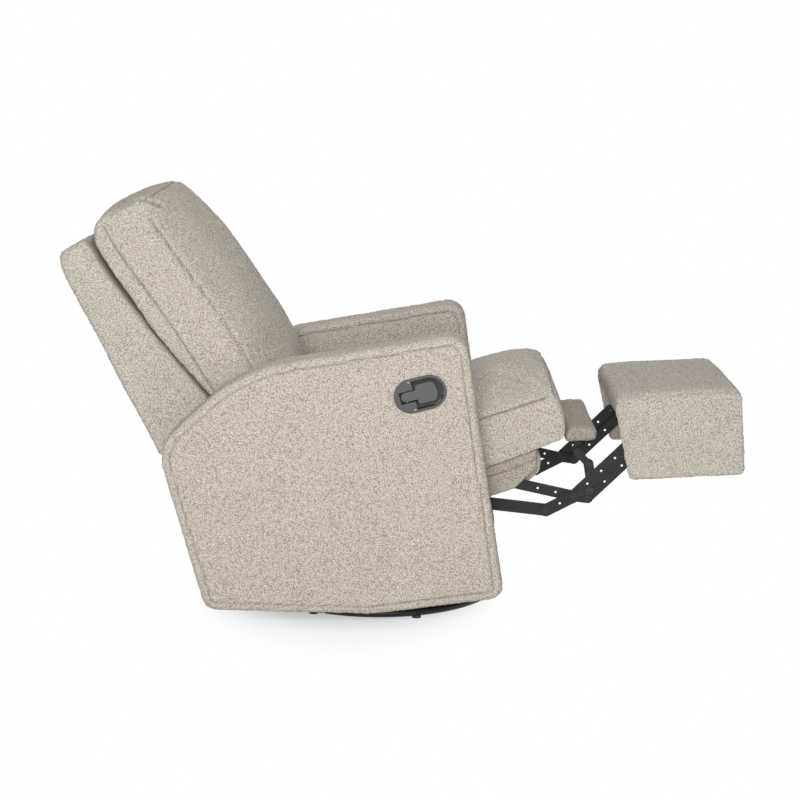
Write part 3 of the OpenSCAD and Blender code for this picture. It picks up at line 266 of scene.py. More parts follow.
def mouldedPlastic(name, colour=(0.040, 0.041, 0.047, 1), hollow=0.0):
    # hollow is how far to the side the rim lies; inwards of it the plastic gets painted shade
    shade = Shade(name)
    at = shade.place()
    grain = shade.noise(at, 1400, detail=3.0, roughness=0.6)[0]
    cloud = shade.noise(at, 40)[0]
    tint = shade.colourMix(cloud, (colour[0] * 0.85, colour[1] * 0.85, colour[2] * 0.87, 1), colour)
    # painted shade inside the cup, growing towards its floor
    if hollow:
        across = shade.node("ShaderNodeSeparateXYZ", None, {0: at})[1]
        depth, paintedCupShade = 0.012, (0.003, 0.003, 0.004, 1)
        inside = shade.smoothRange(across, -hollow, -hollow + depth)
        tint = shade.colourMix(inside * 0.9, tint, paintedCupShade)
    return shade.finish(Base_Color=tint, Roughness=0.46 + cloud.swing(0.12),
                        Normal=shade.bump(grain, strength=0.3, distance=0.0003))


def blackRubber(name):
    shade = Shade(name)
    at = shade.place()
    dust = shade.noise(at, 90, detail=3.0, roughness=0.6)[0]
    grain = shade.noise(at, 1200)[0]
    clean, dusty = (0.012, 0.012, 0.012, 1), (0.05, 0.048, 0.045, 1)
    return shade.finish(Base_Color=shade.colourMix((dust > 0.6) * 0.4, clean, dusty),
                        Roughness=0.75, Normal=shade.bump(grain, strength=0.3, distance=0.0003))


finishes = {
    "armCloth": boucleCloth("armBoucle"),
    "sideCloth": boucleCloth("sideBoucle", (0.985, 0.99, 0.995, 1)),
    "frontCloth": boucleCloth("cushionBoucle", (1.0, 1.005, 1.01, 1)),
    # the mid pad's darker colour is painted shade, for its place between the seat and the footrest
    "midShadedCloth": boucleCloth("midPadShadedBoucle", (0.74, 0.72, 0.68, 1)),
    "deckCloth": boucleCloth("deckBoucle", (0.80, 0.79, 0.77, 1)),
    "blackSteel": paintedSteel("satinBlackSteel"),
    "rivet": paintedSteel("blackRivet", (0.020, 0.020, 0.022, 1), 0.24),
    "plated": platedSteel("platedSteel"),
    "wire": platedSteel("springWire", (0.30, 0.29, 0.27, 1), 0.45),
    "wood": plywood("framePlywood"),
    "plastic": mouldedPlastic("handlePlasticShadedCup", hollow=0.358),
    "leverPlastic": mouldedPlastic("leverPlastic", (0.050, 0.051, 0.058, 1)),
    "rubber": blackRubber("blackRubber"),
}
print("finishes made")


# Small sums that the shapes share
def share(value, low, high):
    return max(0.0, min(1.0, (value - low) / (high - low)))


def eased(value, low, high):
    part = share(value, low, high)
    return part * part * (3 - 2 * part)


def bell(gap, width):
    return exp(-(gap / width) ** 2)


def between(table, at):
    # straight interpolation in a table of (place, value)
    for (a, low), (b, high) in zip(table, table[1:]):
        if at <= b:
            return low + (high - low) * max(0.0, at - a) / (b - a)
    return table[-1][1]


# Making meshes
def meshObject(name, bm):
    mesh = bpy.data.meshes.new(name)
    bm.to_mesh(mesh)
    bm.free()
    obj = bpy.data.objects.new(name, mesh)
    scene.collection.objects.link(obj)
    return obj


def asObject(name, bm, place, body, finish):
    bm.transform(place)
    obj = meshObject(name, bm)
    obj.data.materials.append(finishes[finish])
    for polygon in obj.data.polygons:
        polygon.use_smooth = True
    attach(obj, body)
    return obj


def roundedFace(bm, points, radii, y, steps, longest):
    # a flat face in the XZ plane, its corners rounded by a vertex bevel
    verts = [bm.verts.new((x, y, z)) for x, z in points]
    bm.faces.new(verts)
    cuts = []
    for index, radius in enumerate(radii):
        if not radius:
            continue
        here = Vector(points[index])
        before = (Vector(points[index - 1]) - here).normalized()
        after = (Vector(points[(index + 1) % len(points)]) - here).normalized()
        half = acos(max(-1, min(1, before.dot(after)))) / 2
        cuts.append((verts[index], radius / tan(half)))
    for vert, offset in cuts:
        bmesh.ops.bevel(bm, geom=[vert], offset=offset, offset_type="OFFSET", segments=steps,
                        profile=0.5, affect="VERTICES", material=-1)
    face = max(bm.faces, key=lambda f: f.calc_area())
    if longest:
        for edge in list(face.edges):
            pieces = int(edge.calc_length() / longest)
            if pieces:
                bmesh.ops.subdivide_edges(bm, edges=[edge], cuts=pieces)
    return max(bm.faces, key=lambda f: f.calc_area())


def extruded(bm, face, depth):
    # closes a flat face into a plate along Y; returns the face at the other end
    made = bmesh.ops.extrude_face_region(bm, geom=[face], use_keep_orig=True)["geom"]
    moved = [v for v in made if isinstance(v, bmesh.types.BMVert)]
    bmesh.ops.translate(bm, verts=moved, vec=(0, depth, 0))
    end = [f for f in made if isinstance(f, bmesh.types.BMFace)][0]
    bmesh.ops.recalc_face_normals(bm, faces=bm.faces)
    return end


def slab(points, radii, y0, y1, steps=6, longest=None):
    # a plate between y0 and y1 with the given outline; returns it with its two end faces
    bm = bmesh.new()
    start = roundedFace(bm, points, radii, y0, steps, longest)
    return bm, start, extruded(bm, start, y1 - y0)


def roundedEnd(bm, face, radius, rings, inset=0):
    # turns the rim of an end face into a quarter round, which keeps inside the full outline;
    # a last inset keeps the rim line of the seam. Returns that line as a closed list of points
    steps = []
    for k in range(rings):
        a, b = radians(90 * k / rings), radians(90 * (k + 1) / rings)
        steps.append((radius * (cos(a) - cos(b)), radius * (sin(b) - sin(a))))
    if inset:
        steps.append((inset, 0))
    for inward, outward in steps:
        bmesh.ops.inset_region(bm, faces=[face], thickness=inward, depth=outward,
                               use_even_offset=True)
    points = [loop.vert.co.copy() for loop in face.loops]
    return points + points[:1]


def shapeOf(obj):
    # a new mesh with what the object's modifiers make
    return bpy.data.meshes.new_from_object(
        obj.evaluated_get(bpy.context.evaluated_depsgraph_get()))


def reopened(mesh):
    bm = bmesh.new()
    bm.from_mesh(mesh)
    bpy.data.meshes.remove(mesh)
    return bm


def evaluated(obj):
    mesh = shapeOf(obj)
    bpy.data.objects.remove(obj)
    return reopened(mesh)


def without(bm, cutter):
    # one closed shape cut away from another
    body = meshObject("block", bm)
    tool = meshObject("tool", cutter)
    modifier = body.modifiers.new("cut", "BOOLEAN")
    modifier.object = tool
    modifier.operation = "DIFFERENCE"
    modifier.solver = "EXACT"
    made = evaluated(body)
    bpy.data.objects.remove(tool)
    return made


def evened(bm, rounds=1):
    for _ in range(rounds):
        bmesh.ops.smooth_vert(bm, verts=bm.verts, factor=0.5, use_axis_x=True, use_axis_y=True,
                              use_axis_z=True)
    return bm


def remeshed(bm, voxel, rounds=2):
    # even quads over a closed shape
    obj = meshObject("rough", bm)
    modifier = obj.modifiers.new("voxels", "REMESH")
    modifier.mode = "VOXEL"
    modifier.voxel_size = voxel
    return evened(evaluated(obj), rounds)


def inflated(bm, held, cap, pressure=5.0, frames=16, stiffness=8):
    # cloth pressure puffs the panels out between the points that are held, by cap at most
    obj = meshObject("puffing", bm)
    mesh = obj.data
    group = obj.vertex_groups.new(name="held")
    for index, vert in enumerate(mesh.vertices):
        weight = held(vert.co)
        if weight > 0:
            group.add([index], weight, "REPLACE")
    cloth = obj.modifiers.new("puff", "CLOTH")
    settings = cloth.settings
    settings.quality = 5
    settings.use_pressure = True
    settings.uniform_pressure_force = pressure
    settings.effector_weights.gravity = 0
    settings.vertex_group_mass = "held"
    settings.tension_stiffness = stiffness
    settings.compression_stiffness = stiffness
    settings.shear_stiffness = stiffness * 0.6
    settings.bending_stiffness = 0.5
    settings.air_damping = 2
    cloth.collision_settings.use_collision = False
    cloth.point_cache.frame_start = 1
    cloth.point_cache.frame_end = frames
    for step in range(1, frames + 1):
        scene.frame_set(step)
    puffed = shapeOf(obj)
    for before, after in zip(mesh.vertices, puffed.vertices):
        move = after.co - before.co
        if move.length > cap:
            after.co = before.co + move.normalized() * cap
    scene.frame_set(1)
    bpy.data.objects.remove(obj)
    return evened(reopened(puffed))


def finer(bm):
    bmesh.ops.subdivide_edges(bm, edges=bm.edges, cuts=1, use_grid_fill=True, smooth=0.8)
    return bm


def treeOf(points):
    tree = kdtree.KDTree(len(points))
    for index, point in enumerate(points):
        tree.insert(point, index)
    tree.balance()
    return tree


def seamTree(lines, spacing=0.002):
    # points along sewn lines, for finding how far a point of the cloth is from a seam
    points = []
    for line in lines:
        for a, b in zip(line, line[1:]):
            count = max(1, int((b - a).length / spacing))
            points += [a.lerp(b, k / count) for k in range(count + 1)]
    return treeOf(points)


def laidOn(bm, lines):
    # moves the points of the lines to the nearest point of the cloth, and evens them out
    tree = treeOf([vert.co for vert in bm.verts])
    laid = []
    for line in lines:
        spots = [tree.find(point)[0].copy() for point in line]
        befores = [spots[0]] + spots
        afters = spots[1:] + [spots[-1]]
        laid.append([(a + b * 2 + c) / 4 for a, b, c in zip(befores, spots, afters)])
    return laid


def pushed(bm, moveOf):
    # every point's move is worked out before the first point moves
    bm.normal_update()
    moves = [(vert, moveOf(vert)) for vert in bm.verts]
    for vert, move in moves:
        vert.co += move


# How cushions are sewn; a fitted cover gives its own depth and width, with no ridge
cushionSeam = {"depth": 0.0036, "width": 0.0040, "ridge": 0.0006, "ridgeWidth": 0.013,
               "pucker": 0.003}


def sewn(bm, lines, depth, width, ridge=0.0, ridgeWidth=0.012, pucker=0.0012, paintedShade=1.0):
    # sinks the cloth along its seams, raises a soft ridge beside them, gathers it a little and
    # marks the seam, so the finish paints shade along it
    reach, gatherReach, gatherScale = 0.05, 0.014, 90
    layer = bm.verts.layers.float.get("seam") or bm.verts.layers.float.new("seam")
    tree = seamTree(laidOn(bm, lines))

    def stitched(vert):
        near, _, gap = tree.find(vert.co)
        if gap > reach:
            return Vector()
        beside = bell(gap - ridgeWidth, ridgeWidth * 0.6)
        gather = pucker * noise.noise(near * gatherScale) * exp(-gap / gatherReach)
        # the mark that sets how much painted shade the finish lays on the seam
        vert[layer] = max(vert[layer], paintedShade * bell(gap, width * 0.6))
        return vert.normal * (ridge * beside - depth * bell(gap, width) + gather)

    pushed(bm, stitched)


def unsewn(bm):
    bm.verts.layers.float.new("seam")


def rumpled(bm, amount, scale, fuzz=0.0020, shift=(0, 0, 0)):
    # slow hollows and swells of stuffed cloth, and the fine unevenness of its loops
    fuzzScale = 130
    offset = Vector(shift)
    pushed(bm, lambda vert: vert.normal * (amount * noise.noise(vert.co * scale + offset)
                                           + fuzz * noise.noise(vert.co * fuzzScale + offset)))


def swept(line, y, move):
    # a line of (x, z) set to one side, and moved as the cloth under it is
    return [p + move(p) for p in (Vector((x, y, z)) for x, z in line)]


# The padded arms; the right one has an oval pocket for the handle's cup
arm = {
    "points": [(0, 0.030), (0.310, 0.030), (0.3025, 0.668), (-0.225, 0.652), (-0.450, 0.499),
               (-0.396, 0.093)],
    "radii": [0.300, 0.032, 0.045, 0.350, 0.090, 0.035],
    "edge": 0.016, "edgeRings": 5, "seamIn": 0.005, "cornerSteps": 10, "longest": 0.012,
    "voxel": 0.0042, "outerSwell": 0.0025, "innerSwell": 0.0012,
    "cup": (0.1130, 0.0690), "cupDeep": 0.030, "cupOut": 0.02, "flatAroundCup": (0.062, 0.092),
    "seam": {"depth": 0.0022, "width": 0.0034, "paintedShade": 0.75},
}


def ovalPrism(length, height, y0, y1, steps=14):
    # a lying oval with round ends, between y0 and y1
    bm = bmesh.new()
    radius = height / 2
    ring = []
    for side in (1, -1):
        for k in range(steps + 1):
            angle = radians(-90 + 180 * k / steps)
            ring.append(bm.verts.new((side * (length / 2 - radius + radius * cos(angle)), y0,
                                      side * radius * sin(angle))))
    extruded(bm, bm.faces.new(ring), y1 - y0)
    return bm


def makeArm(name, side, node):
    inner, outer, edge = chair["armInner"], chair["armOuter"], arm["edge"]
    bm, near, far = slab(arm["points"], arm["radii"], inner + edge, outer - edge,
                         steps=arm["cornerSteps"], longest=arm["longest"])
    innerLine = roundedEnd(bm, near, edge, arm["edgeRings"], arm["seamIn"])
    outerLine = roundedEnd(bm, far, edge, arm["edgeRings"], arm["seamIn"])
    if side < 0:
        bmesh.ops.scale(bm, vec=(1, -1, 1), verts=bm.verts)
        bmesh.ops.reverse_faces(bm, faces=bm.faces)
        innerLine = [Vector((p.x, -p.y, p.z)) for p in innerLine]
        outerLine = [Vector((p.x, -p.y, p.z)) for p in outerLine]
        hole = ovalPrism(*arm["cup"], -outer - arm["cupOut"], -outer + arm["cupDeep"])
        hole.transform(bodyPlace.inverted() @ handlePlace)
        bm = without(bm, hole)
    bm = remeshed(bm, arm["voxel"])
    cupAt = Vector((chair["handle"][0], -outer, chair["handle"][1]))

    def swollen(vert):
        away = 1.0
        if side < 0:
            gap = (Vector((vert.co.x, -outer, vert.co.z)) - cupAt).length
            away = share(gap, *arm["flatAroundCup"])
        outside = vert.co.y * side > (inner + outer) / 2
        swell = arm["outerSwell"] if outside else arm["innerSwell"]
        return vert.normal * swell * abs(vert.normal.y) * away

    pushed(bm, swollen)
    sewn(bm, [outerLine, innerLine], **arm["seam"])
    rumpled(bm, 0.0012, 9, shift=(side * 3, 0, 1))
    obj = asObject(name, bm, bodyPlace, "chassis", "armCloth")
    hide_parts(node)


makeArm("armCoverRight", -1, "arm_cover_right")
makeArm("armCoverLeft", 1, "arm_cover_left")
print("arms made")

# The upholstered shell of the back, with a slightly rounded rear
shell = {
    "points": [(0.070, -0.120), (0.200, -0.120), (0.165, 0.083), (0.1215, 0.267), (0.092, 0.440),
               (0.084, 0.539), (0.010, 0.533), (-0.001, 0.490), (0, 0.004)],
    "radii": [0.016, 0.016, 0.060, 0.060, 0, 0.014, 0.018, 0.040, 0],
    "halfWidth": 0.255, "edge": 0.015, "edgeRings": 5, "longest": 0.015, "voxel": 0.0048,
    "rearZone": 0.03, "rearSwell": 0.006, "seam": {"depth": 0.0012, "width": 0.0045, "paintedShade": 0.0},
}


def makeShell():
    half, edge = shell["halfWidth"], shell["edge"]
    bm, near, far = slab(shell["points"], shell["radii"], -half + edge, half - edge,
                         longest=shell["longest"])
    lines = [roundedEnd(bm, face, edge, shell["edgeRings"]) for face in (near, far)]
    bm = remeshed(bm, shell["voxel"])
    for vert in bm.verts:
        if vert.co.x < shell["rearZone"]:
            vert.co.x -= shell["rearSwell"] * max(0.0, 1 - (vert.co.y / half) ** 2)
    sewn(bm, lines, **shell["seam"])
    rumpled(bm, 0.0022, 8, shift=(5, 2, 1))
    obj = asObject("backShell", bm, backPlace, "back", "sideCloth")
    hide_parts("back_shell")


makeShell()
print("shell made")

# The back cushion: a crowned front panel, gussets between two seams, and a fold at each top corner
backCushion = {
    "points": [(0.206, -0.116), (0.280, -0.116), (0.286, 0.083), (0.286, 0.180), (0.250, 0.430),
               (0.234, 0.558), (0.136, 0.566), (0.112, 0.552), (0.0950, 0.515), (0.1000, 0.430),
               (0.1260, 0.267), (0.1695, 0.083)],
    "radii": [0.024, 0.040, 0.120, 0.120, 0.200, 0.026, 0.020, 0.016, 0.016, 0.080, 0.080, 0],
    "halfWidth": 0.244, "longest": 0.03, "voxel": 0.0068, "smoothing": 6,
    "crown": 0.100, "crownDepth": (0.150, 0.245), "crownFoot": (-0.118, 0.03),
    "crownTop": (0.40, 0.56), "topFall": 0.30, "topRise": 0.014, "topZone": (0.44, 0.56),
    "rearFace": [(-0.12, 0.206), (0.083, 0.1695), (0.267, 0.126), (0.450, 0.0965),
                 (0.60, 0.094)],
    "rearSeam": [(0.198, 0.02), (0.182, 0.095), (0.183, 0.157), (0.174, 0.242), (0.159, 0.342),
                 (0.143, 0.429), (0.133, 0.512), (0.136, 0.552)],
    "frontSeam": [(0.289, 0.060), (0.288, 0.145), (0.278, 0.230), (0.262, 0.344), (0.247, 0.443),
                  (0.234, 0.530)],
    "frontSeamIn": 0.002, "topSeamFrom": (-0.004, 0.024),
    "fold": [(0.226, 0.575), (0.245, 0.560), (0.268, 0.545), (0.290, 0.532), (0.306, 0.540)],
    "foldIn": 0.012, "heldSeam": 0.012, "heldFoot": -0.09, "heldRear": (0.006, 0.020),
    "puff": 0.020,
    "foldSeam": {"depth": 0.0050, "width": 0.0045, "ridge": 0.0060, "ridgeWidth": 0.012,
                 "pucker": 0.002},
}


def backCrown(co):
    # the front panel swells most in the middle; the gusset stays where the seams hold it
    across = min(1.0, abs(co.y) / backCushion["halfWidth"])
    depth = eased(co.x, *backCushion["crownDepth"])
    rise = eased(co.z, *backCushion["crownFoot"])
    fall = 1 - backCushion["topFall"] * eased(co.z, *backCushion["crownTop"])
    crown = backCushion["crown"] * (1 - across ** 2.2) ** 0.66 * fall
    lift = backCushion["topRise"] * (1 - across ** 2) * eased(co.z, *backCushion["topZone"])
    return Vector((crown * depth * rise, 0, lift))


def makeBackCushion():
    half = backCushion["halfWidth"]
    bm = slab(backCushion["points"], backCushion["radii"], -half, half,
              longest=backCushion["longest"])[0]
    bm = remeshed(bm, backCushion["voxel"], backCushion["smoothing"])
    frontAt = half - backCushion["frontSeamIn"]
    rear = [swept(backCushion["rearSeam"], side * half, backCrown) for side in (-1, 1)]
    front = [swept(backCushion["frontSeam"], side * frontAt, backCrown) for side in (-1, 1)]
    top, shift = backCushion["frontSeam"][-1], backCushion["topSeamFrom"]
    across = [Vector((top[0] + shift[0], half * k / 20, top[1] + shift[1]))
              for k in range(-19, 20)]
    across = [p + backCrown(p) for p in across]
    for vert in bm.verts:
        vert.co += backCrown(vert.co)
    tree = seamTree(rear + front + [across])

    def held(co):
        near = bell(tree.find(co)[2], backCushion["heldSeam"])
        foot = 1.0 if co.z < backCushion["heldFoot"] else 0.0
        fromShell = co.x - between(backCushion["rearFace"], co.z)
        return max(near, foot, 1 - eased(fromShell, *backCushion["heldRear"]))

    bm = finer(inflated(bm, held, backCushion["puff"]))
    for lines in (rear, front, [across]):
        sewn(bm, lines, **cushionSeam)
    foldAt = half - backCushion["foldIn"]
    folds = [swept(backCushion["fold"], side * foldAt, backCrown) for side in (-1, 1)]
    sewn(bm, folds, **backCushion["foldSeam"])
    rumpled(bm, 0.0045, 7, shift=(1, 7, 3))
    obj = asObject("backCushion", bm, backPlace, "back", "frontCloth")
    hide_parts("back_cushion")


makeBackCushion()
print("back cushion made")

# The seat cushion: a high crown that rolls over the front, with a box edge on each side
seat = {
    "points": [(-0.108, 0.003), (0.517, 0.003), (0.530, 0.060), (0.525, 0.094), (0.508, 0.112),
               (-0.108, 0.106)],
    "radii": [0.026, 0.022, 0.060, 0.010, 0.018, 0.030],
    "halfWidth": 0.249, "longest": 0.03, "voxel": 0.0068, "smoothing": 6,
    "crown": 0.088, "turn": 125, "length": (-0.110, 0.530), "crownZone": (0.015, 0.100),
    "sideSeam": 0.101, "sideSeamRise": 0.006, "sideSeamIn": 0.001,
    "frontSeam": (0.5255, 0.092), "lowSeam": 0.020,
    "heldSeam": 0.012, "heldFoot": 0.012, "heldRear": -0.09, "puff": 0.018,
    "lowest": 0.0022, "droop": 0.012, "droopZone": (0.2405, 0.246), "droopHeight": (0.002, 0.060),
    "droopLess": 0.45, "droopFront": (0.42, 0.50),
}


def seatCrown(co):
    across = min(1.0, abs(co.y) / seat["halfWidth"])
    arch = sin(radians(seat["turn"] * share(co.x, *seat["length"]))) ** 0.6
    crown = seat["crown"] * (1 - across ** 2.4) ** 0.62 * arch
    return Vector((0, 0, crown * share(co.z, *seat["crownZone"]) ** 1.2))


def makeSeat():
    half = seat["halfWidth"]
    bm = slab(seat["points"], seat["radii"], -half, half, longest=seat["longest"])[0]
    bm = remeshed(bm, seat["voxel"], seat["smoothing"])
    sideLine = [(x * 0.01, seat["sideSeam"] + seat["sideSeamRise"] * eased(x, 0, 40))
                for x in range(-9, 52)]
    sides = [swept(sideLine, y * (half - seat["sideSeamIn"]), seatCrown) for y in (-1, 1)]
    edge = [Vector((seat["frontSeam"][0], half * k / 40, seat["frontSeam"][1]))
            for k in range(-39, 40)]
    edge = [p + seatCrown(p) for p in edge]
    low = [[Vector((x * 0.01, y * half, seat["lowSeam"])) for x in range(-9, 50)]
           for y in (-1, 1)]
    for vert in bm.verts:
        vert.co += seatCrown(vert.co)
    tree = seamTree(sides + [edge] + low)

    def held(co):
        near = bell(tree.find(co)[2], seat["heldSeam"])
        return max(near, 1.0 if co.z < seat["heldFoot"] or co.x < seat["heldRear"] else 0.0)

    bm = finer(inflated(bm, held, seat["puff"]))
    sewn(bm, sides + [edge], **cushionSeam)
    rumpled(bm, 0.0045, 7, shift=(4, 4, 3))
    # the lower side edges hang over the deck a little, less so at the front
    for vert in bm.verts:
        vert.co.z = max(vert.co.z, seat["lowest"])
        beside = eased(abs(vert.co.y), *seat["droopZone"])
        droop = beside * (1 - eased(vert.co.z, *seat["droopHeight"]))
        less = 1 - seat["droopLess"] * eased(vert.co.x, *seat["droopFront"])
        vert.co.z -= seat["droop"] * droop * less
    obj = asObject("seatCushion", bm, seatPlace, "seat", "frontCloth")
    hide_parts("seat_cushion")


makeSeat()
print("seat cushion made")


def boxOf(x0, x1, half, z0, z1):
    bm = bmesh.new()
    bmesh.ops.create_cube(bm, size=1)
    bmesh.ops.scale(bm, vec=(x1 - x0, 2 * half, z1 - z0), verts=bm.verts)
    bmesh.ops.translate(bm, vec=((x0 + x1) / 2, 0, (z0 + z1) / 2), verts=bm.verts)
    return bm


def rolledTop(co, half, radius):
    # turns the square edge between the top and a side into a soft roll
    inward, below = half - abs(co.y), -co.z
    if inward >= radius or below >= radius or inward < -0.001:
        return
    away = Vector((radius - inward, radius - below))
    part = max(away.x, away.y) / max(away.length, 1e-6)
    co.y = (half - radius + away.x * part) * (1 if co.y > 0 else -1)
    co.z = away.y * part - radius


# The footrest's cover: a padded top with a flap down each side and in front
footrest = {
    "points": [(-0.006, -0.044), (0.020, -0.210), (0.294, -0.211), (0.295, 0), (-0.004, 0)],
    "radii": [0.060, 0.012, 0.014, 0.024, 0.022], "cornerSteps": 7, "longest": 0.012,
    "half": 0.251, "edge": 0.006, "edgeRings": 4, "wall": 0.012,
    "inside": (-0.04, 0.284, -0.25, -0.050), "voxel": 0.0042, "roll": 0.030,
    "roof": (-0.030, -0.006), "swell": 0.004, "length": 0.296,
}


def makeFootrest():
    half, edge = footrest["half"], footrest["edge"]
    bm, near, far = slab(footrest["points"], footrest["radii"], -half + edge, half - edge,
                         steps=footrest["cornerSteps"], longest=footrest["longest"])
    for face in (near, far):
        roundedEnd(bm, face, edge, footrest["edgeRings"])
    x0, x1, z0, z1 = footrest["inside"]
    bm = without(bm, boxOf(x0, x1, half - footrest["wall"], z0, z1))
    bm = remeshed(bm, footrest["voxel"])
    for vert in bm.verts:
        rolledTop(vert.co, half, footrest["roll"])
        roof = eased(vert.co.z, *footrest["roof"])
        arch = sin(pi * share(vert.co.x, 0, footrest["length"]))
        vert.co.z += footrest["swell"] * roof * arch * (1 - (vert.co.y / half) ** 2)
    rumpled(bm, 0.0020, 8, shift=(2, 9, 1))
    unsewn(bm)
    obj = asObject("footrestCover", bm, footPlace,
                   body_of(frame["nodes"]["footrest_cover"])[0], "sideCloth")
    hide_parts("footrest_cover")


# The small pad between the seat and the footrest
midPad = {
    "points": [(0, -0.032), (0.076, -0.032), (0.076, 0), (0, 0)],
    "radii": [0.008, 0.010, 0.014, 0.012], "cornerSteps": 7, "longest": 0.012,
    "half": 0.198, "edge": 0.010, "edgeRings": 5, "wall": 0.012,
    "inside": (0.012, 0.064, -0.05, -0.018), "voxel": 0.0035,
    "roof": (-0.016, -0.004), "swell": 0.003, "length": 0.076,
}


def makeMidPad():
    half, edge = midPad["half"], midPad["edge"]
    bm, near, far = slab(midPad["points"], midPad["radii"], -half + edge, half - edge,
                         steps=midPad["cornerSteps"], longest=midPad["longest"])
    for face in (near, far):
        roundedEnd(bm, face, edge, midPad["edgeRings"])
    x0, x1, z0, z1 = midPad["inside"]
    bm = without(bm, boxOf(x0, x1, half - midPad["wall"], z0, z1))
    bm = remeshed(bm, midPad["voxel"])
    for vert in bm.verts:
        roof = eased(vert.co.z, *midPad["roof"])
        arch = sin(pi * share(vert.co.x, 0, midPad["length"]))
        vert.co.z += midPad["swell"] * roof * arch
    rumpled(bm, 0.0012, 12, shift=(2, 3, 8))
    unsewn(bm)
    obj = asObject("midPadCover", bm, midPlace,
                   body_of(frame["nodes"]["mid_pad_cover"])[0], "midShadedCloth")
    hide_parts("mid_pad_cover")


# The cloth-covered deck under the seat cushion. Its core goes round the seat's frame; beside the
# core, where the linkage folds up, the nose is open and keeps to the outline named beyond.
deck = {
    "points": [(-0.050, -0.082), (0.385, -0.080), (0.431, -0.062), (0.444, -0.030), (0.442, 0),
               (-0.050, 0)],
    "radii": [0.002, 0.060, 0.024, 0.020, 0.004, 0.002], "longest": 0.02, "voxel": 0.0035,
    "half": 0.2355, "core": 0.2190, "wall": 0.004, "past": 0.01,
    "hollow": [(-0.060, -0.100), (0.345, -0.100), (0.345, -0.076), (0.4246, -0.061),
               (0.4246, -0.0011), (-0.060, -0.0011)],
    "passage": [(-0.060, -0.100), (0.4246, -0.100), (0.4246, -0.0011), (-0.060, -0.0011)],
    "beyond": [(0.330, -0.110), (0.330, -0.0825), (0.353, -0.0825), (0.4255, -0.0485),
               (0.4405, 0.001), (0.470, 0.001), (0.470, -0.110)],
    "slot": (-0.06, 0.151, -0.030, -0.014),
    "seamHeight": -0.030, "seamRise": 0.0004, "seamBend": 38,
    "seam": {"depth": 0.0015, "width": 0.0035, "paintedShade": 0.8},
}


def makeDeck():
    half, wall, core, past = deck["half"], deck["wall"], deck["core"], deck["past"]
    bm = slab(deck["points"], deck["radii"], -half, half, longest=deck["longest"])[0]
    cuts = [("hollow", -core + wall, core - wall)]
    for side in (-1, 1):
        cuts += [("passage", *sorted((side * core, side * (half - wall)))),
                 ("beyond", *sorted((side * core, side * (half + past))))]
    for outline, y0, y1 in cuts:
        bm = without(bm, slab(deck[outline], [0] * len(deck[outline]), y0, y1)[0])
    x0, x1, z0, z1 = deck["slot"]
    bm = without(bm, boxOf(x0, x1, half + past, z0, z1))
    bm = remeshed(bm, deck["voxel"])
    line = [(x * 0.01, deck["seamHeight"] + deck["seamRise"] * max(0, x - deck["seamBend"]) ** 1.5)
            for x in range(-4, 44)]
    sewn(bm, [[Vector((x, y * half, z)) for x, z in line] for y in (-1, 1)], **deck["seam"])
    rumpled(bm, 0.0006, 12, fuzz=0.0006, shift=(3, 1, 8))
    for vert in bm.verts:
        vert.co.z = min(vert.co.z, 0.0)
    obj = asObject("seatDeck", bm, seatPlace, body_of(frame["nodes"]["seat_deck"])[0],
                   "deckCloth")
    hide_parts("seat_deck")


# The panel between the arms, under the shell
rearPanel = {
    "points": [(-0.414, 0.105), (-0.398, 0.105), (-0.443, 0.434), (-0.459, 0.434)],
    "radii": [0.004] * 4, "cornerSteps": 4, "longest": 0.02, "half": 0.2617, "voxel": 0.0045,
    "height": (0.105, 0.434), "swell": 0.004,
}


def makeRearPanel():
    half = rearPanel["half"]
    bm = slab(rearPanel["points"], rearPanel["radii"], -half, half,
              steps=rearPanel["cornerSteps"], longest=rearPanel["longest"])[0]
    bm = remeshed(bm, rearPanel["voxel"])
    unsewn(bm)
    for vert in bm.verts:
        if vert.normal.x < -0.3:
            arch = sin(pi * share(vert.co.z, *rearPanel["height"]))
            vert.co.x -= rearPanel["swell"] * arch * (1 - (vert.co.y / half) ** 2)
    rumpled(bm, 0.0012, 9, shift=(6, 1, 8))
    obj = asObject("rearCover", bm, bodyPlace, "chassis", "sideCloth")
    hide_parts("rear_cover")


makeFootrest()
makeMidPad()
makeDeck()
makeRearPanel()
print("covers made")

# The solids that are shown as they are
nodeFinish = {
    "blackSteel": "base_ring glider_frame glide_links_rear glide_links_front side_rail_right "
                  "side_rail_left chassis_tubes guide_plates linkage_plate_right "
                  "linkage_plate_left linkage_tube back_brackets rear_bars main_bars tail_bars "
                  "front_bars footrest_brackets mid_pad_bracket",
    "rivet": "main_bar_pins rear_bar_pins footrest_pins plate_pivots",
    "plated": "bearing_lower bearing_balls swivel_bolt bearing_upper turntable_bolts "
              "glide_top_pins glide_low_pins slide_channels arm_bolts handle_screws lever_pin "
              "slide_runners seat_bolts back_guide_pins",
    "wire": "seat_springs back_springs",
    "wood": "arm_frame_right arm_frame_left rear_board seat_frame back_frame footrest_board",
    "plastic": "handle_cup",
    "leverPlastic": "release_lever",
    "rubber": "base_feet link_bumpers",
}
for finish, names in nodeFinish.items():
    for name in names.split():
        obj = frame["nodes"][name]
        for slot in obj.material_slots:
            slot.material = finishes[finish]
print("nodes finished")

# The photo's white studio. The floor takes the chair's shadow near it and glows white beyond.
stage = {
    "floorHalf": 14.0, "shadowAt": (0.12, 0, 0), "shadowShape": (1.6, 1, 1),
    "shadowFade": (0.28, 0.66), "glowNear": 0.45, "sky": 0.27,
    "camera": (0.142, -4.477, 1.277), "pitch": 10.05, "yaw": -1.18, "focal": 1807,
    "pictureWidth": 800, "sensor": 36, "clip": 60,
}


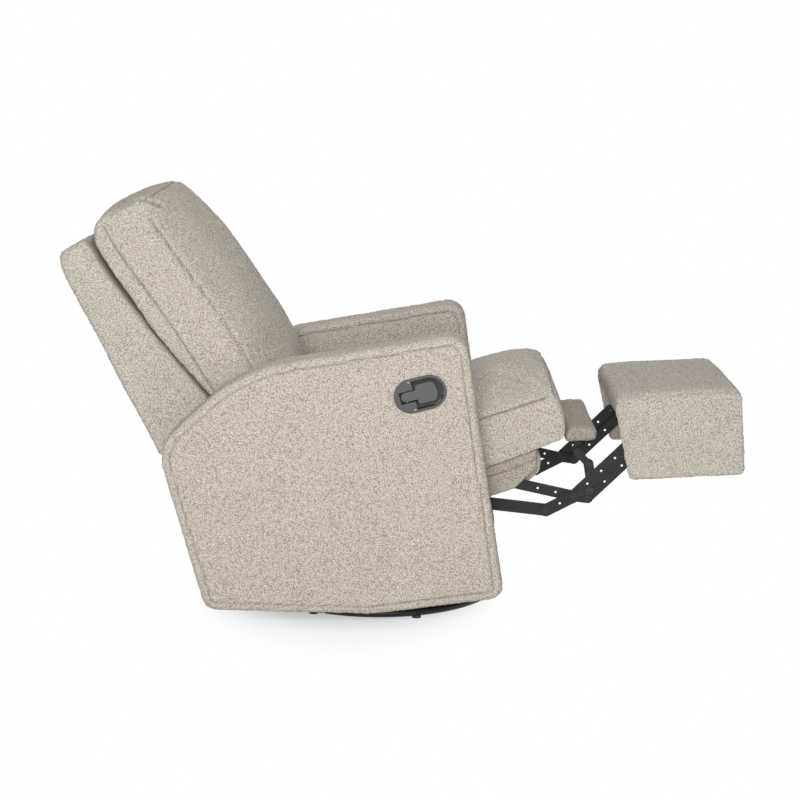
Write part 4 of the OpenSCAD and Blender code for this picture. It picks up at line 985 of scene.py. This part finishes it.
def whiteStage():
    shade = Shade("paleFloor")
    rays = shade.node("ShaderNodeLightPath")
    cameraRay, glossyRay = rays[0], rays[3]
    seen = shade.node("ShaderNodeMath", {"operation": "MAXIMUM"}, {0: cameraRay, 1: glossyRay})[0]
    at = shade.place()
    aside = shade.node("ShaderNodeMapping", None,
                       {0: at, 1: stage["shadowAt"], 3: stage["shadowShape"]})[0]
    far = shade.node("ShaderNodeVectorMath", {"operation": "LENGTH"}, {0: aside})[1]
    fade = shade.smoothRange(far, *stage["shadowFade"], start=stage["glowNear"], end=1.0)
    speck = shade.noise(at, 3.0)[0]
    tint = shade.colourMix(speck, (0.86, 0.86, 0.86, 1), (0.88, 0.88, 0.88, 1))
    paint = shade.node("ShaderNodeBsdfDiffuse", None, {0: tint})[0]
    glow = shade.node("ShaderNodeEmission", None, {0: (1, 1, 1, 1), 1: 1.0})[0]
    both = shade.node("ShaderNodeMixShader", None, {0: seen * fade, 1: paint, 2: glow})[0]
    shade.node("ShaderNodeOutputMaterial", None, {0: both})
    bm = bmesh.new()
    bmesh.ops.create_grid(bm, x_segments=8, y_segments=8, size=stage["floorHalf"])
    floor = meshObject("floor", bm)
    floor.data.materials.append(shade.material)


def areaLamp(name, spot, aim, size, power, colour):
    lamp = bpy.data.lights.new(name, "AREA")
    lamp.shape = "RECTANGLE"
    lamp.size = size
    lamp.size_y = size
    lamp.energy = power
    lamp.color = colour
    obj = bpy.data.objects.new(name, lamp)
    obj.location = spot
    obj.rotation_euler = (Vector(aim) - Vector(spot)).to_track_quat("-Z", "Y").to_euler()
    scene.collection.objects.link(obj)


def makeWorld():
    # white to the camera, dimmer as a light
    world = bpy.data.worlds.new("studio")
    world.use_nodes = True
    scene.world = world
    tree = world.node_tree
    tree.nodes.clear()
    path = tree.nodes.new("ShaderNodeLightPath")
    either = tree.nodes.new("ShaderNodeMath")
    either.operation = "MAXIMUM"
    tree.links.new(path.outputs["Is Camera Ray"], either.inputs[0])
    tree.links.new(path.outputs["Is Transmission Ray"], either.inputs[1])
    level = tree.nodes.new("ShaderNodeMapRange")
    level.inputs[3].default_value = stage["sky"]
    level.inputs[4].default_value = 1.0
    tree.links.new(either.outputs[0], level.inputs[0])
    sky = tree.nodes.new("ShaderNodeBackground")
    sky.inputs[0].default_value = (1, 1, 1, 1)
    tree.links.new(level.outputs[0], sky.inputs[1])
    out = tree.nodes.new("ShaderNodeOutputWorld")
    tree.links.new(sky.outputs[0], out.inputs[0])


def makeCamera():
    camera = bpy.data.cameras.new("photoView")
    camera.sensor_width = stage["sensor"]
    camera.lens = stage["focal"] / stage["pictureWidth"] * stage["sensor"]
    camera.clip_end = stage["clip"]
    obj = bpy.data.objects.new("photoView", camera)
    obj.location = stage["camera"]
    obj.rotation_euler = (radians(90 - stage["pitch"]), 0, -radians(stage["yaw"]))
    scene.collection.objects.link(obj)
    scene.camera = obj


whiteStage()
areaLamp("key", (-0.1, -4.9, 2.1), aim=(0, 0, 0.5), size=2.4, power=285,
         colour=(1.0, 0.980, 0.948))
areaLamp("top", (0.0, 0.3, 4.2), aim=(0.1, 0, 0.4), size=3.0, power=34,
         colour=(0.95, 0.975, 1.0))
areaLamp("fill", (0.9, 4.4, 2.6), aim=(0.1, 0, 0.5), size=2.6, power=110,
         colour=(0.98, 0.985, 1.0))
makeWorld()
makeCamera()
scene.view_settings.view_transform = "Standard"
print("stage set")
